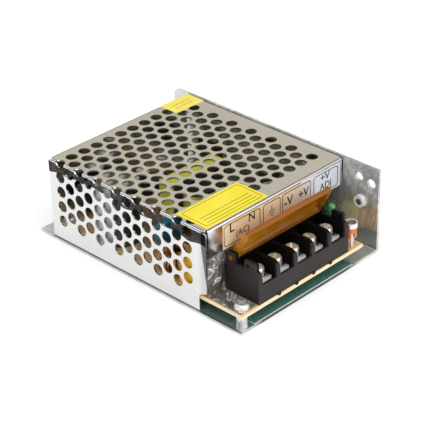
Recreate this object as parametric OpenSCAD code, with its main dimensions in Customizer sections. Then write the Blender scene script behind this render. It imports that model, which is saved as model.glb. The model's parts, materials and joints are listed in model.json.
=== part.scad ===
// Mesh case switching power supply.
// Millimetres. X runs left to right, Y front to back, Z up.
// The origin is the centre of the underside of the chassis floor.

/* [Case] */
// Overall length, front to back
case_l = 110; // [106:1:120]
// Overall width
case_w = 78; // [77:0.5:84]
// Overall height
case_h = 36; // [35.5:0.5:42]
// Thickness of the chassis sheet
chassis_t = 1.2; // [1:0.1:1.4]
// Outer radius of the chassis bend
chassis_bend = 2; // [1.6:0.1:2.6]
// Radius of the rear top corner of the chassis wall
wall_corner_r = 3; // [1:0.5:6]
// Depth of the open terminal bay in front of the cover
front_bay = 17; // [16.8:0.1:18]
// Bare floor behind the cover
rear_tab = 8; // [7:0.5:10]

/* [Mesh cover] */
// Thickness of the cover sheet
cover_t = 0.6; // [0.5:0.05:0.8]
// Outer radius of the folds
cover_bend = 1; // [0.9:0.05:1.3]
// Floor left showing beside the cover
floor_lip = 0.4; // [0.1:0.1:0.8]
// Gap between the cover's flange and the chassis wall
cover_gap = 0.1; // [0.05:0.05:0.3]
// Height of the front lip
lip_drop = 11.4; // [11:0.1:11.8]
// Bare width between the lip's end and the right flange
lip_short = 1.4; // [0.8:0.1:2]
// Height of the right flange
flange_drop = 7; // [6.5:0.25:7.5]
// Gap under the rear panel
panel_gap = 0.5; // [0.3:0.1:1]
// Diameter of the relief hole at each folded corner
relief_d = 1.5; // [1.2:0.1:2]
// Rear end of the notch at the lower front corner
notch_l = 4; // [3:0.5:5]
// Height of the notch at its rear end
notch_h = 7.1; // [6.8:0.1:8]
// Rise of the notch towards the front
notch_rise = 1.7; // [0.5:0.1:2.5]

/* [Perforation] */
// Diameter of the holes
hole_d = 4.8; // [3:0.1:5]
// Distance between holes along a row
hole_pitch = 6.5; // [6.2:0.1:8]
// Distance between rows
row_pitch = 5.32; // [5.1:0.02:6.5]
// Centre of the front row from the cover's front edge
first_row = 9.4; // [8:0.1:11]
// Least bare sheet behind the last row
rear_margin = 4; // [3:0.5:8]
// Least bare sheet beside the last hole of a row
right_margin = 5; // [4:0.5:12]
// Holes in a column down the side
side_holes = 4; // [2:1:4]

/* [Fixings] */
// Diameter of the case screws' shank
screw_d = 2.4; // [2.2:0.1:2.6]
// Diameter of a countersunk head
csk_d = 5.4; // [5:0.1:5.8]
// Depth of a countersunk head
csk_h = 1; // [0.8:0.1:1.1]
// Length of the countersunk screws
csk_l = 3.6; // [3.2:0.1:5]
// Running clearance round screws and pins
slack = 0.05; // [0.02:0.01:0.1]
// Diameter of a pan head
pan_d = 5.6; // [5.2:0.1:6]
// Height of a pan head
pan_h = 2.3; // [1.8:0.1:2.6]
// Width of the blades in a cross recess
recess_w = 0.7; // [0.5:0.05:1]
// Depth of a recess
recess_h = 1.1; // [0.6:0.1:1.3]
// Height of the upper holes in the wall
wall_hole_z = 30.2; // [28:0.2:31]
// Diameter of the inner upper hole
wall_hole_d = 3.6; // [3:0.1:4]
// Inner upper hole from the front edge
wall_hole_y = 9.5; // [8.5:0.1:10.5]
// Diameter of the outer upper hole
mount_hole_d = 4; // [3.4:0.1:4.5]
// Outer upper hole from the front edge
mount_hole_y = 3.6; // [3:0.1:4.2]
// Outer upper hole below the inner one
mount_hole_drop = 1.2; // [0:0.1:2]
// Diameter of the tapped holes in the wall
tap_d = 2.5; // [2.4:0.05:2.6]
// Outer diameter of the collar round a tapped hole
tap_collar_d = 5; // [4.4:0.1:5.4]
// Height of that collar
tap_collar_h = 1.2; // [0.8:0.1:1.5]
// Height of the tapped holes in the wall
tap_z = 19.9; // [18:0.1:22]
// Front tapped hole from the front edge
tap_y = 8.6; // [8:0.1:9.5]
// Rear tapped hole from the rear edge
tap_rear_y = 4; // [3.5:0.1:4.5]
// Diameter of the holes in the floor behind the cover
foot_hole_d = 3.5; // [3.2:0.1:4]
// Distance between those holes
foot_hole_pitch = 60; // [50:1:66]
// Front cover screw behind the cover's lip
cover_screw_front = 8; // [6:0.5:10]
// Rear cover screw in front of the rear panel
cover_screw_rear = 9; // [6:0.5:11]
// Cover's floor tabs from its front and rear
tab_inset = 24; // [20:1:30]
// Width of the floor tabs
tab_w = 8; // [7:0.5:10]
// Length of the floor tabs
tab_l = 5; // [4.5:0.5:6]

/* [Circuit board] */
// Thickness of the board
pcb_t = 1.6; // [1.2:0.1:2]
// Height of the standoffs
standoff_h = 4.9; // [4.5:0.1:5.5]
// Diameter of the standoffs
standoff_d = 4.6; // [4.2:0.1:5]
// Diameter of the riveted end of a standoff
rivet_d = 3.6; // [3.2:0.1:3.8]
// Gap between the board and the cover's side
pcb_side_gap = 0.2; // [0.1:0.05:0.5]
// Board edge behind the front of the floor
pcb_front_gap = 0.3; // [0.1:0.1:0.8]
// Board edge in front of the rear panel
pcb_rear_gap = 1.1; // [0.8:0.1:3]
// Width kept free between the board and the chassis wall
device_bay = 8.2; // [8:0.1:9]
// Board screws from the board's edges
pcb_screw_inset = 3.7; // [3.5:0.1:4.2]
// Clearance hole for the board screws
pcb_hole_d = 3; // [2.8:0.1:3.2]
// Front right board screw behind the front edge
pcb_screw_fr = 21; // [19.5:0.5:23]

/* [Films and labels] */
// Thickness of the insulating films
film_t = 0.2; // [0.1:0.05:0.3]
// Floor film inset from the standoffs
film_gap = 0.4; // [0.2:0.1:1]
// Film tucked up behind the cover's lip
film_tuck = 1.1; // [0.5:0.1:4]
// Thickness of the labels
label_t = 0.1; // [0.06:0.02:0.2]
// Length of the terminal label
term_label_l = 65; // [60:1:68]
// Height of the terminal label
term_label_h = 10; // [9:0.5:10.4]
// Length of the top label
top_label_l = 32; // [26:1:36]
// Width of the top label
top_label_w = 15.6; // [12:0.2:18]
// Top label from the cover's left side
top_label_x = 2.4; // [1.2:0.2:8]
// Top label from the cover's lip
top_label_y = 1.4; // [1.2:0.2:4]
// Length of the rear label
rear_label_l = 15.8; // [10:0.2:20]
// Width of the rear label
rear_label_w = 9.6; // [6:0.2:10]
// Rear label from the cover's right and rear edges
label_edge = 0.6; // [0.5:0.1:2]
// Terminal label from the lip's right end
term_label_edge = 1; // [0.5:0.1:3]
// Terminal label above the lip's lower edge
term_label_rise = 0.2; // [0.1:0.1:0.4]

/* [Terminal block] */
// Distance between terminals
way_pitch = 9.5; // [9.3:0.1:10]
// Thickness of the barriers between terminals
barrier_t = 1.8; // [1.4:0.1:2]
// Thickness of the end walls
end_t = 2.1; // [2:0.1:2.5]
// Front to back
block_d = 16.4; // [16.2:0.1:16.6]
// Height of the barriers above the board
barrier_h = 13.5; // [13:0.1:13.6]
// Rear of the tall part of the barriers in front of the block's rear face
barrier_back = 5; // [4.8:0.1:5.6]
// Radius of the barriers' front top corner
barrier_r = 3; // [2:0.1:4]
// Height of the front wall
front_wall_h = 7.5; // [7:0.1:8]
// Thickness of the front and rear walls
block_wall_t = 1.2; // [1:0.1:1.5]
// Height of the rear wall
rear_wall_h = 11; // [9:0.1:11.4]
// Height of the ears on the end walls
ear_h = 16.4; // [16.2:0.1:16.8]
// Height of the slot's floor between the ears
ear_slot_h = 12.6; // [12.2:0.1:12.9]
// Front of the front ear behind the block's face
ear_front = 1.7; // [1.4:0.1:2]
// Length of the front ear
ear_l = 5.2; // [4.8:0.1:5.6]
// Length of the slot between the ears
ear_slot_l = 5; // [4.5:0.1:5.2]
// Diameter of the catch hole in the front ear
catch_d = 1.6; // [1.2:0.1:1.8]
// Catch hole below the top of the ear
catch_drop = 2; // [1.6:0.1:2.2]
// Block's left end from the board's edge
block_inset = 9.15; // [9:0.05:9.8]
// Height of the seat for the contacts
seat_h = 5.3; // [5:0.1:5.5]
// Diameter of the well under each screw
well_d = 4.4; // [4:0.1:5]
// Floor left under the wells
well_floor = 1.2; // [1:0.1:1.6]
// Width and depth of the feet gaps along the lower edge
foot_gap = 1.2; // [0.8:0.1:1.5]

/* [Terminals] */
// Thickness of the contact plates
contact_t = 1; // [0.8:0.1:1.1]
// Width of the contact plates
contact_w = 7; // [6.4:0.1:7.2]
// Length of the contact plates
contact_l = 11; // [10:0.1:11.2]
// Width of the solder tails
tail_w = 3; // [2:0.1:3.4]
// Solder tail below the board
tail_drop = 1.6; // [1:0.1:2.2]
// Diameter of the terminal screws
term_screw_d = 3.3; // [3:0.1:3.4]
// Diameter of their heads
term_head_d = 5.8; // [5.4:0.1:6]
// Length of their shanks under the head
term_shank_l = 7; // [6.6:0.1:7.4]
// Width of the square clamp washers
clamp_w = 7.2; // [6.6:0.1:7.3]
// Length of the square clamp washers
clamp_l = 8; // [7:0.1:8.2]
// Thickness of the square clamp washers
clamp_t = 1.2; // [1:0.1:1.3]
// Diameter of the spring washers
spring_d = 5.4; // [5:0.1:5.6]
// Thickness of the spring washers
spring_t = 1.5; // [1:0.1:1.6]
// Screw axis behind the block's front face
screw_back = 6.6; // [6.4:0.1:6.8]

/* [Terminal cover] */
// Angle at which the cover stands open
cover_open = 55; // [0:1:88]
// Length from the hinge to the free edge
flap_l = 13; // [12.6:0.1:13.2]
// Thickness of the plate and lip
flap_t = 0.9; // [0.7:0.05:1]
// Top of the plate above the hinge axis
flap_rise = 2.4; // [2.2:0.05:2.4]
// Bottom of the lip above the hinge axis
lip_rise = 0.2; // [0:0.1:0.5]
// Radius of the folded front edge
flap_r = 1; // [0.5:0.1:1.1]
// Thickness of the end cheeks
cheek_t = 0.8; // [0.6:0.05:0.9]
// Radius of the cheek round the hinge
cheek_r = 1.6; // [1.5:0.05:1.7]
// Diameter of the hinge pins
hinge_d = 2; // [1.8:0.1:2.1]
// Hinge axis above the board
hinge_h = 14.5; // [14.3:0.05:14.6]
// Hinge axis in front of the block's rear face
hinge_back = 2.6; // [2.55:0.05:2.7]
// Gap between the cheeks and the end walls
flap_gap = 0.25; // [0.2:0.05:0.35]

/* [Trimmer and lamp] */
// Diameter of the trimmer's rotor
rotor_d = 5.1; // [4.6:0.1:5.4]
// Height of the rotor
rotor_h = 1.9; // [1.6:0.1:2.2]
// Height of the trimmer's top above the board
trimmer_h = 10.6; // [9:0.1:11]
// Diameter of the trimmer's base
trimmer_base_d = 4.6; // [4.2:0.1:4.8]
// Height of the trimmer's base
trimmer_base_h = 4.2; // [3.6:0.1:4.6]
// Height of the arches in the trimmer's base
trimmer_arch_h = 2.4; // [1.6:0.1:2.8]
// Width of those arches and of the legs in them
trimmer_leg_w = 1.2; // [1:0.1:1.4]
// Width of the rim round the rotor's dish
rotor_rim = 0.5; // [0.3:0.05:0.7]
// Depth of the rotor's dish
rotor_dish = 0.5; // [0.3:0.05:0.7]
// Diameter of the rotor's pivot
rotor_pin_d = 1.4; // [1.2:0.1:1.6]
// Trimmer's axis from the board's right edge
trimmer_x = 4.4; // [2.8:0.1:4.6]
// Trimmer's axis from the board's front edge
trimmer_y = 2.4; // [2.3:0.1:3]
// Width of the rotor's slot
slot_w = 0.6; // [0.5:0.05:0.9]
// Diameter of the lamp
led_d = 3; // [2.9:0.05:3.2]
// Height of the lamp's body
led_h = 5.3; // [4.5:0.1:5.6]
// Lamp's top above the board
led_top = 16.2; // [15:0.1:17]
// Diameter of the lamp's flange
led_flange_d = 3.8; // [3.6:0.1:3.9]
// Lamp's axis from the block's right end
led_x = 2.2; // [2.1:0.1:2.6]
// Lamp's axis in front of the cover's lip
led_y = 6; // [5:0.1:7]
// Thickness of square component leads
lead_t = 0.5; // [0.4:0.05:0.6]

/* [Transformer] */
// Width of the core
core_w = 28; // [26:0.5:29]
// Thickness of the core
core_d = 9; // [8:0.5:10]
// Height of the core
core_h = 21; // [20:0.5:22]
// Width of the core's outer legs
core_leg = 4; // [3:0.25:4.5]
// Bottom of the core above the board
core_lift = 2.2; // [2:0.1:2.6]
// Wall of the bobbin
bobbin_t = 0.8; // [0.6:0.05:1]
// Front to back of the winding
winding_d = 24; // [20:0.5:25]
// Radius of the winding's corners
winding_r = 6; // [4:0.5:7]
// Gap between the winding and the core's outer legs
winding_gap = 0.4; // [0.2:0.1:0.8]
// Thickness of the tape round the core
tape_t = 0.3; // [0.2:0.05:0.4]
// Width of the tape round the core
tape_w = 7.4; // [6:0.2:8]
// Transformer's axis from the board's left edge
transformer_x = 35.8; // [35.4:0.1:36.2]
// Transformer's axis from the cover's lip
transformer_y = 43; // [42:0.5:44]

/* [Mains side parts] */
// Diameter of the bulk capacitor
bulk_d = 18; // [16:0.5:18.5]
// Height of the bulk capacitor
bulk_h = 25; // [20:0.5:25.5]
// Gap between the bulk capacitor and the board's left edge
bulk_gap = 0.3; // [0.2:0.1:0.6]
// Bulk capacitor's axis from the cover's lip
bulk_y = 56.6; // [55:0.2:57.6]
// Length of the mains filter capacitor
x_cap_l = 13; // [11:0.5:13.5]
// Width of the mains filter capacitor
x_cap_w = 7; // [5:0.5:8]
// Height of the mains filter capacitor
x_cap_h = 13; // [11:0.5:17]
// Mains filter capacitor from the board's left edge
x_cap_x = 0.8; // [0.3:0.1:1.2]
// Mains filter capacitor behind the cover's lip
x_cap_y = 2.6; // [2:0.2:3.4]
// Diameter of the fuse
fuse_d = 5.2; // [5:0.1:5.4]
// Length of the fuse
fuse_l = 20; // [18:0.5:21]
// Length of the fuse's end caps
fuse_cap_l = 5; // [4:0.5:6]
// Fuse's axis from the board's left edge
fuse_inset = 19.2; // [18.8:0.2:19.8]
// Fuse behind the cover's lip
fuse_back = 2.2; // [1.4:0.2:3]
// Thickness of the fuse clips
clip_t = 0.5; // [0.4:0.05:0.6]
// Width of the fuse clips
clip_w = 4; // [3:0.5:4.5]
// Fuse clips above the board
clip_lift = 0.4; // [0.2:0.1:0.8]
// Diameter of the thermistor
ntc_d = 7.5; // [6.5:0.25:7.5]
// Thickness of the thermistor
ntc_t = 4; // [3:0.25:4.5]
// Thermistor's axis to the right of the fuse
ntc_x = 7.3; // [7:0.1:7.4]
// Thermistor's axis behind the cover's lip
ntc_y = 5; // [4:0.5:7]
// Outer diameter of the mains choke's core
choke_d = 13; // [11:0.5:13.5]
// Inner diameter of the mains choke's core
choke_bore = 7; // [6:0.5:7.5]
// Height of the mains choke's core
choke_h = 7; // [6:0.5:8]
// Gap between the choke's winding and the board's left edge
choke_gap = 0.6; // [0.2:0.1:0.8]
// Choke's axis from the cover's lip
choke_y = 24; // [23.6:0.2:24.4]
// Angle that each of its windings covers
choke_turn = 120; // [80:5:140]
// Thickness of the toroids' windings
wire_t = 1; // [0.6:0.1:1.2]
// Length of the bridge rectifier
bridge_l = 14.5; // [12:0.5:15]
// Thickness of the bridge rectifier
bridge_t = 3.6; // [3:0.2:4]
// Height of the bridge rectifier
bridge_h = 11; // [9:0.5:12]
// Bridge rectifier from the board's left edge
bridge_x = 9; // [8.5:0.25:9.5]
// Bridge rectifier in front of the board's rear edge
bridge_back = 2.4; // [1:0.2:3]
// Diameter of the surge arrester
mov_d = 11; // [9:0.5:11.5]
// Thickness of the surge arrester
mov_t = 4; // [3:0.25:4.5]
// Surge arrester's axis from the board's left edge
mov_x = 14.6; // [13:0.2:15]
// Surge arrester's axis from the cover's lip
mov_y = 35.4; // [34.8:0.2:36]
// Diameter of the safety capacitors
disc_d = 8; // [6:0.5:8.5]
// Thickness of the safety capacitors
disc_t = 3.6; // [3:0.1:4]
// Front safety capacitor's axis from the board's left edge
disc_x = 11.4; // [11:0.1:11.8]
// Front safety capacitor's axis from the cover's lip
disc_y = 8; // [7:0.5:9]
// Rear safety capacitor's axis to the left of the transformer's
disc_side = 8; // [6:0.5:9]
// Rear safety capacitor's axis in front of the transformer's winding
disc_gap = 6; // [3:0.5:7]
// Round components' bodies above the board
wafer_lift = 2.5; // [2:0.1:3.2]

/* [Output side parts] */
// Width of a power device
device_w = 10; // [9.6:0.1:10.4]
// Thickness of a power device
device_t = 4.4; // [4:0.1:4.6]
// Height of a power device's moulding
device_h = 9; // [8.6:0.1:9.4]
// Height of the metal tab above the moulding
device_tab_h = 6; // [5.6:0.1:6.4]
// Thickness of the metal tab
device_tab_t = 1.3; // [1.2:0.05:1.4]
// Gap between the insulating pads and the cover's flange
device_gap = 0.5; // [0.3:0.1:1]
// Edge of the insulating pads beyond the devices
pad_edge = 1; // [0.5:0.1:1.2]
// Thickness of the insulating pads
pad_t = 0.3; // [0.2:0.05:0.4]
// Switching transistor in front of the cover's rear
transistor_back = 15; // [10:0.5:20]
// Output rectifier behind the cover's lip
rectifier_y = 20; // [18:1:24]
// Distance between a power device's leads
lead_pitch = 2.54; // [2.4:0.02:2.6]
// Diameter of the output capacitors
out_cap_d = 10; // [8:0.5:10.4]
// Height of the output capacitors
out_cap_h = 20; // [16:0.5:24]
// Distance between the output capacitors
out_cap_pitch = 11; // [10.6:0.1:11.5]
// Output capacitors from the board's right edge
out_cap_edge = 1.2; // [0.6:0.1:1.6]
// Front output capacitors' axes from the cover's lip
out_cap_y = 14.5; // [13.5:0.5:15]
// Outer diameter of the output inductor's core
coil_d = 12; // [10:0.5:12.5]
// Inner diameter of the output inductor's core
coil_bore = 6; // [5:0.5:6.5]
// Height of the output inductor's core
coil_h = 6; // [5:0.5:7]
// Inductor's axis to the left of the right output capacitors'
coil_x = 23.6; // [23.5:0.1:23.8]
// Inductor's core behind the cover's lip
coil_y = 3; // [2:0.5:6]
// Angle that its winding covers
coil_turn = 290; // [240:10:320]
// Length of the control chip
chip_l = 9.6; // [9:0.1:10]
// Width of the chips' mouldings
chip_w = 6.4; // [6:0.1:6.6]
// Height of the chips' mouldings
chip_h = 3.3; // [3:0.1:3.6]
// Chips' mouldings above the board
chip_lift = 0.6; // [0.4:0.1:1]
// Control chip's axis to the right of the transformer's
chip_x = 12; // [11:0.5:14]
// Control chip's axis in front of the board's rear edge
chip_back = 10; // [8:0.5:11]
// Length of the optocoupler
opto_l = 4.6; // [4.4:0.1:5]
// Optocoupler's axis to the right of the transformer's
opto_x = 20; // [19:0.5:23]
// Optocoupler's axis behind the transformer's
opto_y = 12; // [10:0.5:14]
// Diameter of the power resistors
res_d = 4; // [3:0.1:4.5]
// Length of the power resistors
res_l = 11; // [9:0.5:12]
// Resistors' middle to the right of the transformer's axis
res_x = 23; // [22.4:0.2:23.2]
// First resistor in front of the transformer's axis
res_y = 7; // [6:0.5:8]
// Distance between the resistors
res_pitch = 6; // [5.5:0.5:7]
// Resistors' bodies above the board
res_lift = 1; // [0.5:0.1:2]
// Diameter of the small capacitors
aux_cap_d = 6.3; // [5:0.1:6.6]
// Height of the small capacitors
aux_cap_h = 11; // [9:0.5:12]
// Small capacitors' axes to the right of the transformer's
aux_x = [2, 13, -8];
// Small capacitors' axes in front of the board's rear edge
aux_back = [10, 20, 5];

/* [Hidden] */
$fn = 48;
eps = 0.01;
ways = 5;

// Planes of the case
x_left = -case_w / 2;
x_right = case_w / 2;
y_front = -case_l / 2;
y_rear = case_l / 2;
wall_in = x_right - chassis_t;
cover_x0 = x_left + floor_lip;
cover_x1 = wall_in - cover_gap;
cover_y0 = y_front + front_bay;
cover_y1 = y_rear - rear_tab;
cover_l = cover_y1 - cover_y0;
cover_w = cover_x1 - cover_x0;
cover_in = cover_x0 + cover_t;
lip_x0 = cover_in + relief_d / 2;
lip_x1 = cover_x1 - lip_short;
lip_in = cover_y0 + cover_t;

// Perforation
rows = floor((cover_l - first_row - rear_margin - hole_d / 2) / row_pitch) + 1;
row_room = cover_w - right_margin - hole_d / 2;
cover_screw_y = [cover_y0 + cover_screw_front, cover_y1 - cover_screw_rear];
cover_screw_z = case_h - flange_drop / 2;
tab_y = [cover_y0 + tab_inset, cover_y1 - tab_inset];

// Planes of the board
pcb_x0 = cover_in + pcb_side_gap;
pcb_x1 = wall_in - device_bay;
pcb_y0 = y_front + pcb_front_gap;
pcb_y1 = cover_y1 - cover_t - pcb_rear_gap;
pcb_z0 = chassis_t + standoff_h;
pcb_top = pcb_z0 + pcb_t;
standoff_at = [
  [pcb_x0 + pcb_screw_inset, pcb_y0 + pcb_screw_inset],
  [pcb_x0 + pcb_screw_inset, pcb_y1 - pcb_screw_inset],
  [pcb_x1 - pcb_screw_inset, pcb_y1 - pcb_screw_inset],
  [pcb_x1 - pcb_screw_inset, pcb_y0 + pcb_screw_fr]
];

// Terminal block
block_w = ways * way_pitch - barrier_t + 2 * end_t;
block_x0 = pcb_x0 + block_inset;
block_x1 = block_x0 + block_w;
block_y1 = cover_y0;
block_y0 = block_y1 - block_d;
cell_w = way_pitch - barrier_t;
function way_x(i) = block_x0 + end_t + cell_w / 2 + i * way_pitch;
screw_y = block_y0 + screw_back;
seat_z = pcb_top + seat_h;
contact_z = seat_z + contact_t;
clamp_z = contact_z + clamp_t;
head_z = clamp_z + spring_t;
tail_y = screw_y + contact_l - 5;
hinge_y = block_y1 - hinge_back;
hinge_z = pcb_top + hinge_h;
flap_x0 = block_x0 + end_t + flap_gap;
flap_x1 = block_x1 - end_t - flap_gap;

// Trimmer and lamp
trim_x = pcb_x1 - trimmer_x;
trim_y = pcb_y0 + trimmer_y;
trim_z = pcb_top + trimmer_h;
rotor_z = trim_z - rotor_h;
trim_base_z = rotor_z - slack - trimmer_base_h;
lamp_x = block_x1 + led_x;
lamp_y = cover_y0 - led_y;
lamp_z = pcb_top + led_top - led_h;

// Power devices on the wall
device_x1 = wall_in - pad_t;
device_z = case_h - flange_drop - device_gap - pad_edge - device_tab_h - device_h;
device_hole_z = device_z + device_h + device_tab_h / 2;
device_y = [cover_y1 - transistor_back, cover_y0 + rectifier_y];

// ---- shared shapes ----

// A rectangle whose top left and top right corners are round
module arch_2d(w, h, r) {
  square([w, h - r]);
  translate([r, h - r - eps]) square([w - 2 * r, r + eps]);
  for (x = [r, w - r]) translate([x, h - r]) circle(r);
}

// Draws a shape given in (Y, Z), as a plate from x0 to x1
module plate_yz(x0, x1) {
  translate([x0, 0, 0]) rotate([90, 0, 90]) linear_extrude(x1 - x0) children();
}

// Draws a shape given in (X, Z), as a plate from y0 to y1
module plate_xz(y0, y1) {
  translate([0, y1, 0]) rotate([90, 0, 0]) linear_extrude(y1 - y0) children();
}

module box(x0, x1, y0, y1, z0, z1) {
  translate([x0, y0, z0]) cube([x1 - x0, y1 - y0, z1 - z0]);
}

// Cross recess cut down into a head whose top is at z = 0
module cross_cut(d) {
  for (a = [0, 90]) rotate(a) translate([-d * 0.34, -recess_w / 2, -recess_h])
    cube([d * 0.68, recess_w, recess_h + eps]);
}

// Pan head standing on z = 0
module pan_head(d, h) {
  r = h * 0.45;
  rotate_extrude() intersection() {
    union() {
      square([d / 2, h - r]);
      square([d / 2 - r, h]);
      translate([d / 2 - r, h - r]) circle(r);
    }
    square([d / 2, h]);
  }
}

// Pan head screw with its head on z = 0
module pan_screw(d, head_d, h, l) {
  difference() {
    union() {
      pan_head(head_d, h);
      translate([0, 0, -l]) cylinder(d = d, h = l + eps);
    }
    translate([0, 0, h]) cross_cut(head_d);
  }
}

// Countersunk screw along -Z, with its face on z = 0
module csk_screw() {
  difference() {
    union() {
      translate([0, 0, -csk_h]) cylinder(d1 = screw_d, d2 = csk_d, h = csk_h);
      translate([0, 0, -csk_l]) cylinder(d = screw_d, h = csk_l - csk_h + eps);
    }
    for (a = [0, 90]) rotate(a) translate([-csk_d * 0.3, -recess_w / 2, -csk_h * 0.8])
      cube([csk_d * 0.6, recess_w, csk_h]);
  }
}

// Clearance for a countersunk screw, with its face on z = 0
module csk_hole() {
  translate([0, 0, -csk_h]) cylinder(d1 = screw_d + 2 * slack, d2 = csk_d + 2 * slack, h = csk_h);
  translate([0, 0, -csk_l - 1]) cylinder(d = screw_d + 2 * slack, h = csk_l + 1);
  translate([0, 0, -eps]) cylinder(d = csk_d + 2 * slack, h = 1);
}

// Places its children at the wall's outer face, pointing out of the case
module at_wall(y, z) {
  translate([x_right, y, z]) rotate([0, 90, 0]) children();
}

// ---- case ----

module chassis_profile() {
  r_in = chassis_bend - chassis_t;
  square([case_w - chassis_bend, chassis_t]);
  translate([case_w - chassis_t, chassis_bend]) square([chassis_t, case_h - chassis_bend]);
  translate([case_w - chassis_bend, chassis_bend]) intersection() {
    difference() {
      circle(chassis_bend);
      circle(r_in);
    }
    translate([0, -chassis_bend]) square(chassis_bend);
  }
}

module chassis() {
  color("silver") difference() {
    union() {
      intersection() {
        plate_xz(y_front, y_rear) translate([x_left, 0]) chassis_profile();
        plate_yz(x_left - 1, x_right + 1) translate([y_front, 0]) {
          square([case_l - wall_corner_r, case_h]);
          square([case_l, case_h - wall_corner_r]);
          translate([case_l - wall_corner_r, case_h - wall_corner_r]) circle(wall_corner_r);
        }
      }
      for (y = [y_front + tap_y, y_rear - tap_rear_y]) at_wall(y, tap_z)
        translate([0, 0, -chassis_t - tap_collar_h]) cylinder(d = tap_collar_d, h = tap_collar_h + eps);
    }
    at_wall(y_front + wall_hole_y, wall_hole_z) translate([0, 0, -2]) cylinder(d = wall_hole_d, h = 3);
    at_wall(y_front + mount_hole_y, wall_hole_z - mount_hole_drop)
      translate([0, 0, -2]) cylinder(d = mount_hole_d, h = 3);
    for (y = [y_front + tap_y, y_rear - tap_rear_y]) at_wall(y, tap_z)
      translate([0, 0, -4]) cylinder(d = tap_d, h = 5);
    for (y = cover_screw_y) at_wall(y, cover_screw_z) csk_hole();
    for (y = device_y) at_wall(y, device_hole_z) csk_hole();
    for (y = tab_y) translate([cover_in + tab_l / 2, y, 0]) mirror([0, 0, 1]) csk_hole();
    for (p = standoff_at) translate([p[0], p[1], -1]) cylinder(d = rivet_d + 2 * slack, h = chassis_t + 2);
    for (s = [-1, 1]) translate([s * foot_hole_pitch / 2, y_rear - rear_tab / 2, -1])
      cylinder(d = foot_hole_d, h = chassis_t + 2);
  }
}

// Sheet folded along the length: left side, top and right flange
module side_folds() {
  r_in = cover_bend - cover_t;
  h = case_h - chassis_t;
  plate_xz(cover_y0 + cover_bend, cover_y1 - cover_bend) translate([cover_x0, chassis_t]) difference() {
    arch_2d(cover_w, h, cover_bend);
    translate([cover_t, -eps]) arch_2d(cover_w - 2 * cover_t, h - cover_t + eps, r_in);
    translate([cover_w / 2, -eps]) square([cover_w, h - flange_drop]);
  }
}

// Sheet folded across the front and rear: lip, top and rear panel
module end_folds() {
  r_in = cover_bend - cover_t;
  h = case_h - chassis_t;
  plate_yz(lip_x0, lip_x1) translate([cover_y0, chassis_t]) difference() {
    arch_2d(cover_l, h, cover_bend);
    translate([cover_t, -eps]) arch_2d(cover_l - 2 * cover_t, h - cover_t + eps, r_in);
    translate([-eps, -eps]) square([cover_l / 2, h - lip_drop]);
    translate([-eps, -eps]) square([cover_l + 1, panel_gap]);
  }
}

module perforation() {
  for (j = [0 : rows - 1]) {
    y = cover_y0 + first_row + j * row_pitch;
    odd = (j % 2 == 0) ? 0.5 : 0;
    // across the top
    for (i = [1 - 2 * odd : floor(row_room / hole_pitch - odd)])
      translate([cover_x0 + (i + odd) * hole_pitch, y, case_h - cover_t - 1])
        cylinder(d = hole_d, h = cover_t + 2);
    // down the left side
    for (i = [1 : side_holes])
      translate([cover_x0 - 1, y, case_h - (i - odd) * hole_pitch])
        rotate([0, 90, 0]) cylinder(d = hole_d, h = cover_t + 2);
    // over the fold
    if (odd == 0) {
      translate([cover_x0, y, case_h - cover_bend - eps]) cylinder(d = hole_d, h = cover_bend + 1);
      translate([cover_x0 - 1, y, case_h]) rotate([0, 90, 0]) cylinder(d = hole_d, h = cover_bend + 1);
    }
  }
}

module mesh_cover() {
  color("gainsboro") difference() {
    union() {
      side_folds();
      end_folds();
      // the left side reaches the lip and the rear panel
      box(cover_x0, cover_in, cover_y0, cover_y1, chassis_t, case_h - cover_bend);
      // the right flange does the same
      box(cover_x1 - cover_t, cover_x1, cover_y0, cover_y1, case_h - flange_drop, case_h - cover_bend);
      // tabs that take the floor screws
      for (y = tab_y) box(cover_x0, cover_in + tab_l, y - tab_w / 2, y + tab_w / 2,
        chassis_t, chassis_t + cover_t);
    }
    perforation();
    for (y = [cover_y0 + cover_t, cover_y1 - cover_t]) translate([cover_in, y, case_h - cover_bend])
      cylinder(d = relief_d, h = cover_bend + 1);
    // notch at the lower front corner
    plate_yz(cover_x0 - 1, cover_in + eps) polygon([
      [cover_y0 - 1, chassis_t - 1], [cover_y0 + notch_l, chassis_t - 1],
      [cover_y0 + notch_l, chassis_t + notch_h], [cover_y0, chassis_t + notch_h + notch_rise],
      [cover_y0 - 1, chassis_t + notch_h + notch_rise]
    ]);
    for (y = cover_screw_y) translate([cover_x1 + 1, y, cover_screw_z]) rotate([0, -90, 0])
      cylinder(d = screw_d + 2 * slack, h = cover_t + 2);
    for (y = tab_y) translate([cover_in + tab_l / 2, y, 0]) cylinder(d = screw_d + 2 * slack, h = 5);
  }
}

module cover_screws() {
  color("dimgray") {
    for (y = cover_screw_y) at_wall(y, cover_screw_z) csk_screw();
    for (y = tab_y) translate([cover_in + tab_l / 2, y, 0]) mirror([0, 0, 1]) csk_screw();
  }
}

// ---- board and films ----

module standoffs() {
  color("lightgray") for (p = standoff_at) translate([p[0], p[1], 0]) difference() {
    union() {
      cylinder(d = rivet_d, h = chassis_t + eps);
      translate([0, 0, chassis_t]) cylinder(d = standoff_d, h = standoff_h);
    }
    translate([0, 0, -1]) cylinder(d = screw_d + 2 * slack, h = chassis_t + standoff_h + 2);
  }
}

module pcb() {
  color("burlywood") difference() {
    box(pcb_x0, pcb_x1, pcb_y0, pcb_y1, pcb_z0, pcb_top);
    for (p = standoff_at) translate([p[0], p[1], pcb_z0 - 1]) cylinder(d = pcb_hole_d, h = pcb_t + 2);
    for (i = [0 : ways - 1]) tail_slot(way_x(i), pcb_z0 - 1, pcb_top + 1);
  }
}

module pcb_screws() {
  color("whitesmoke") for (p = standoff_at) translate([p[0], p[1], screw_seat(p)])
    pan_screw(screw_d, pan_d, pan_h, standoff_h + pcb_t - 1);
}

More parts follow.
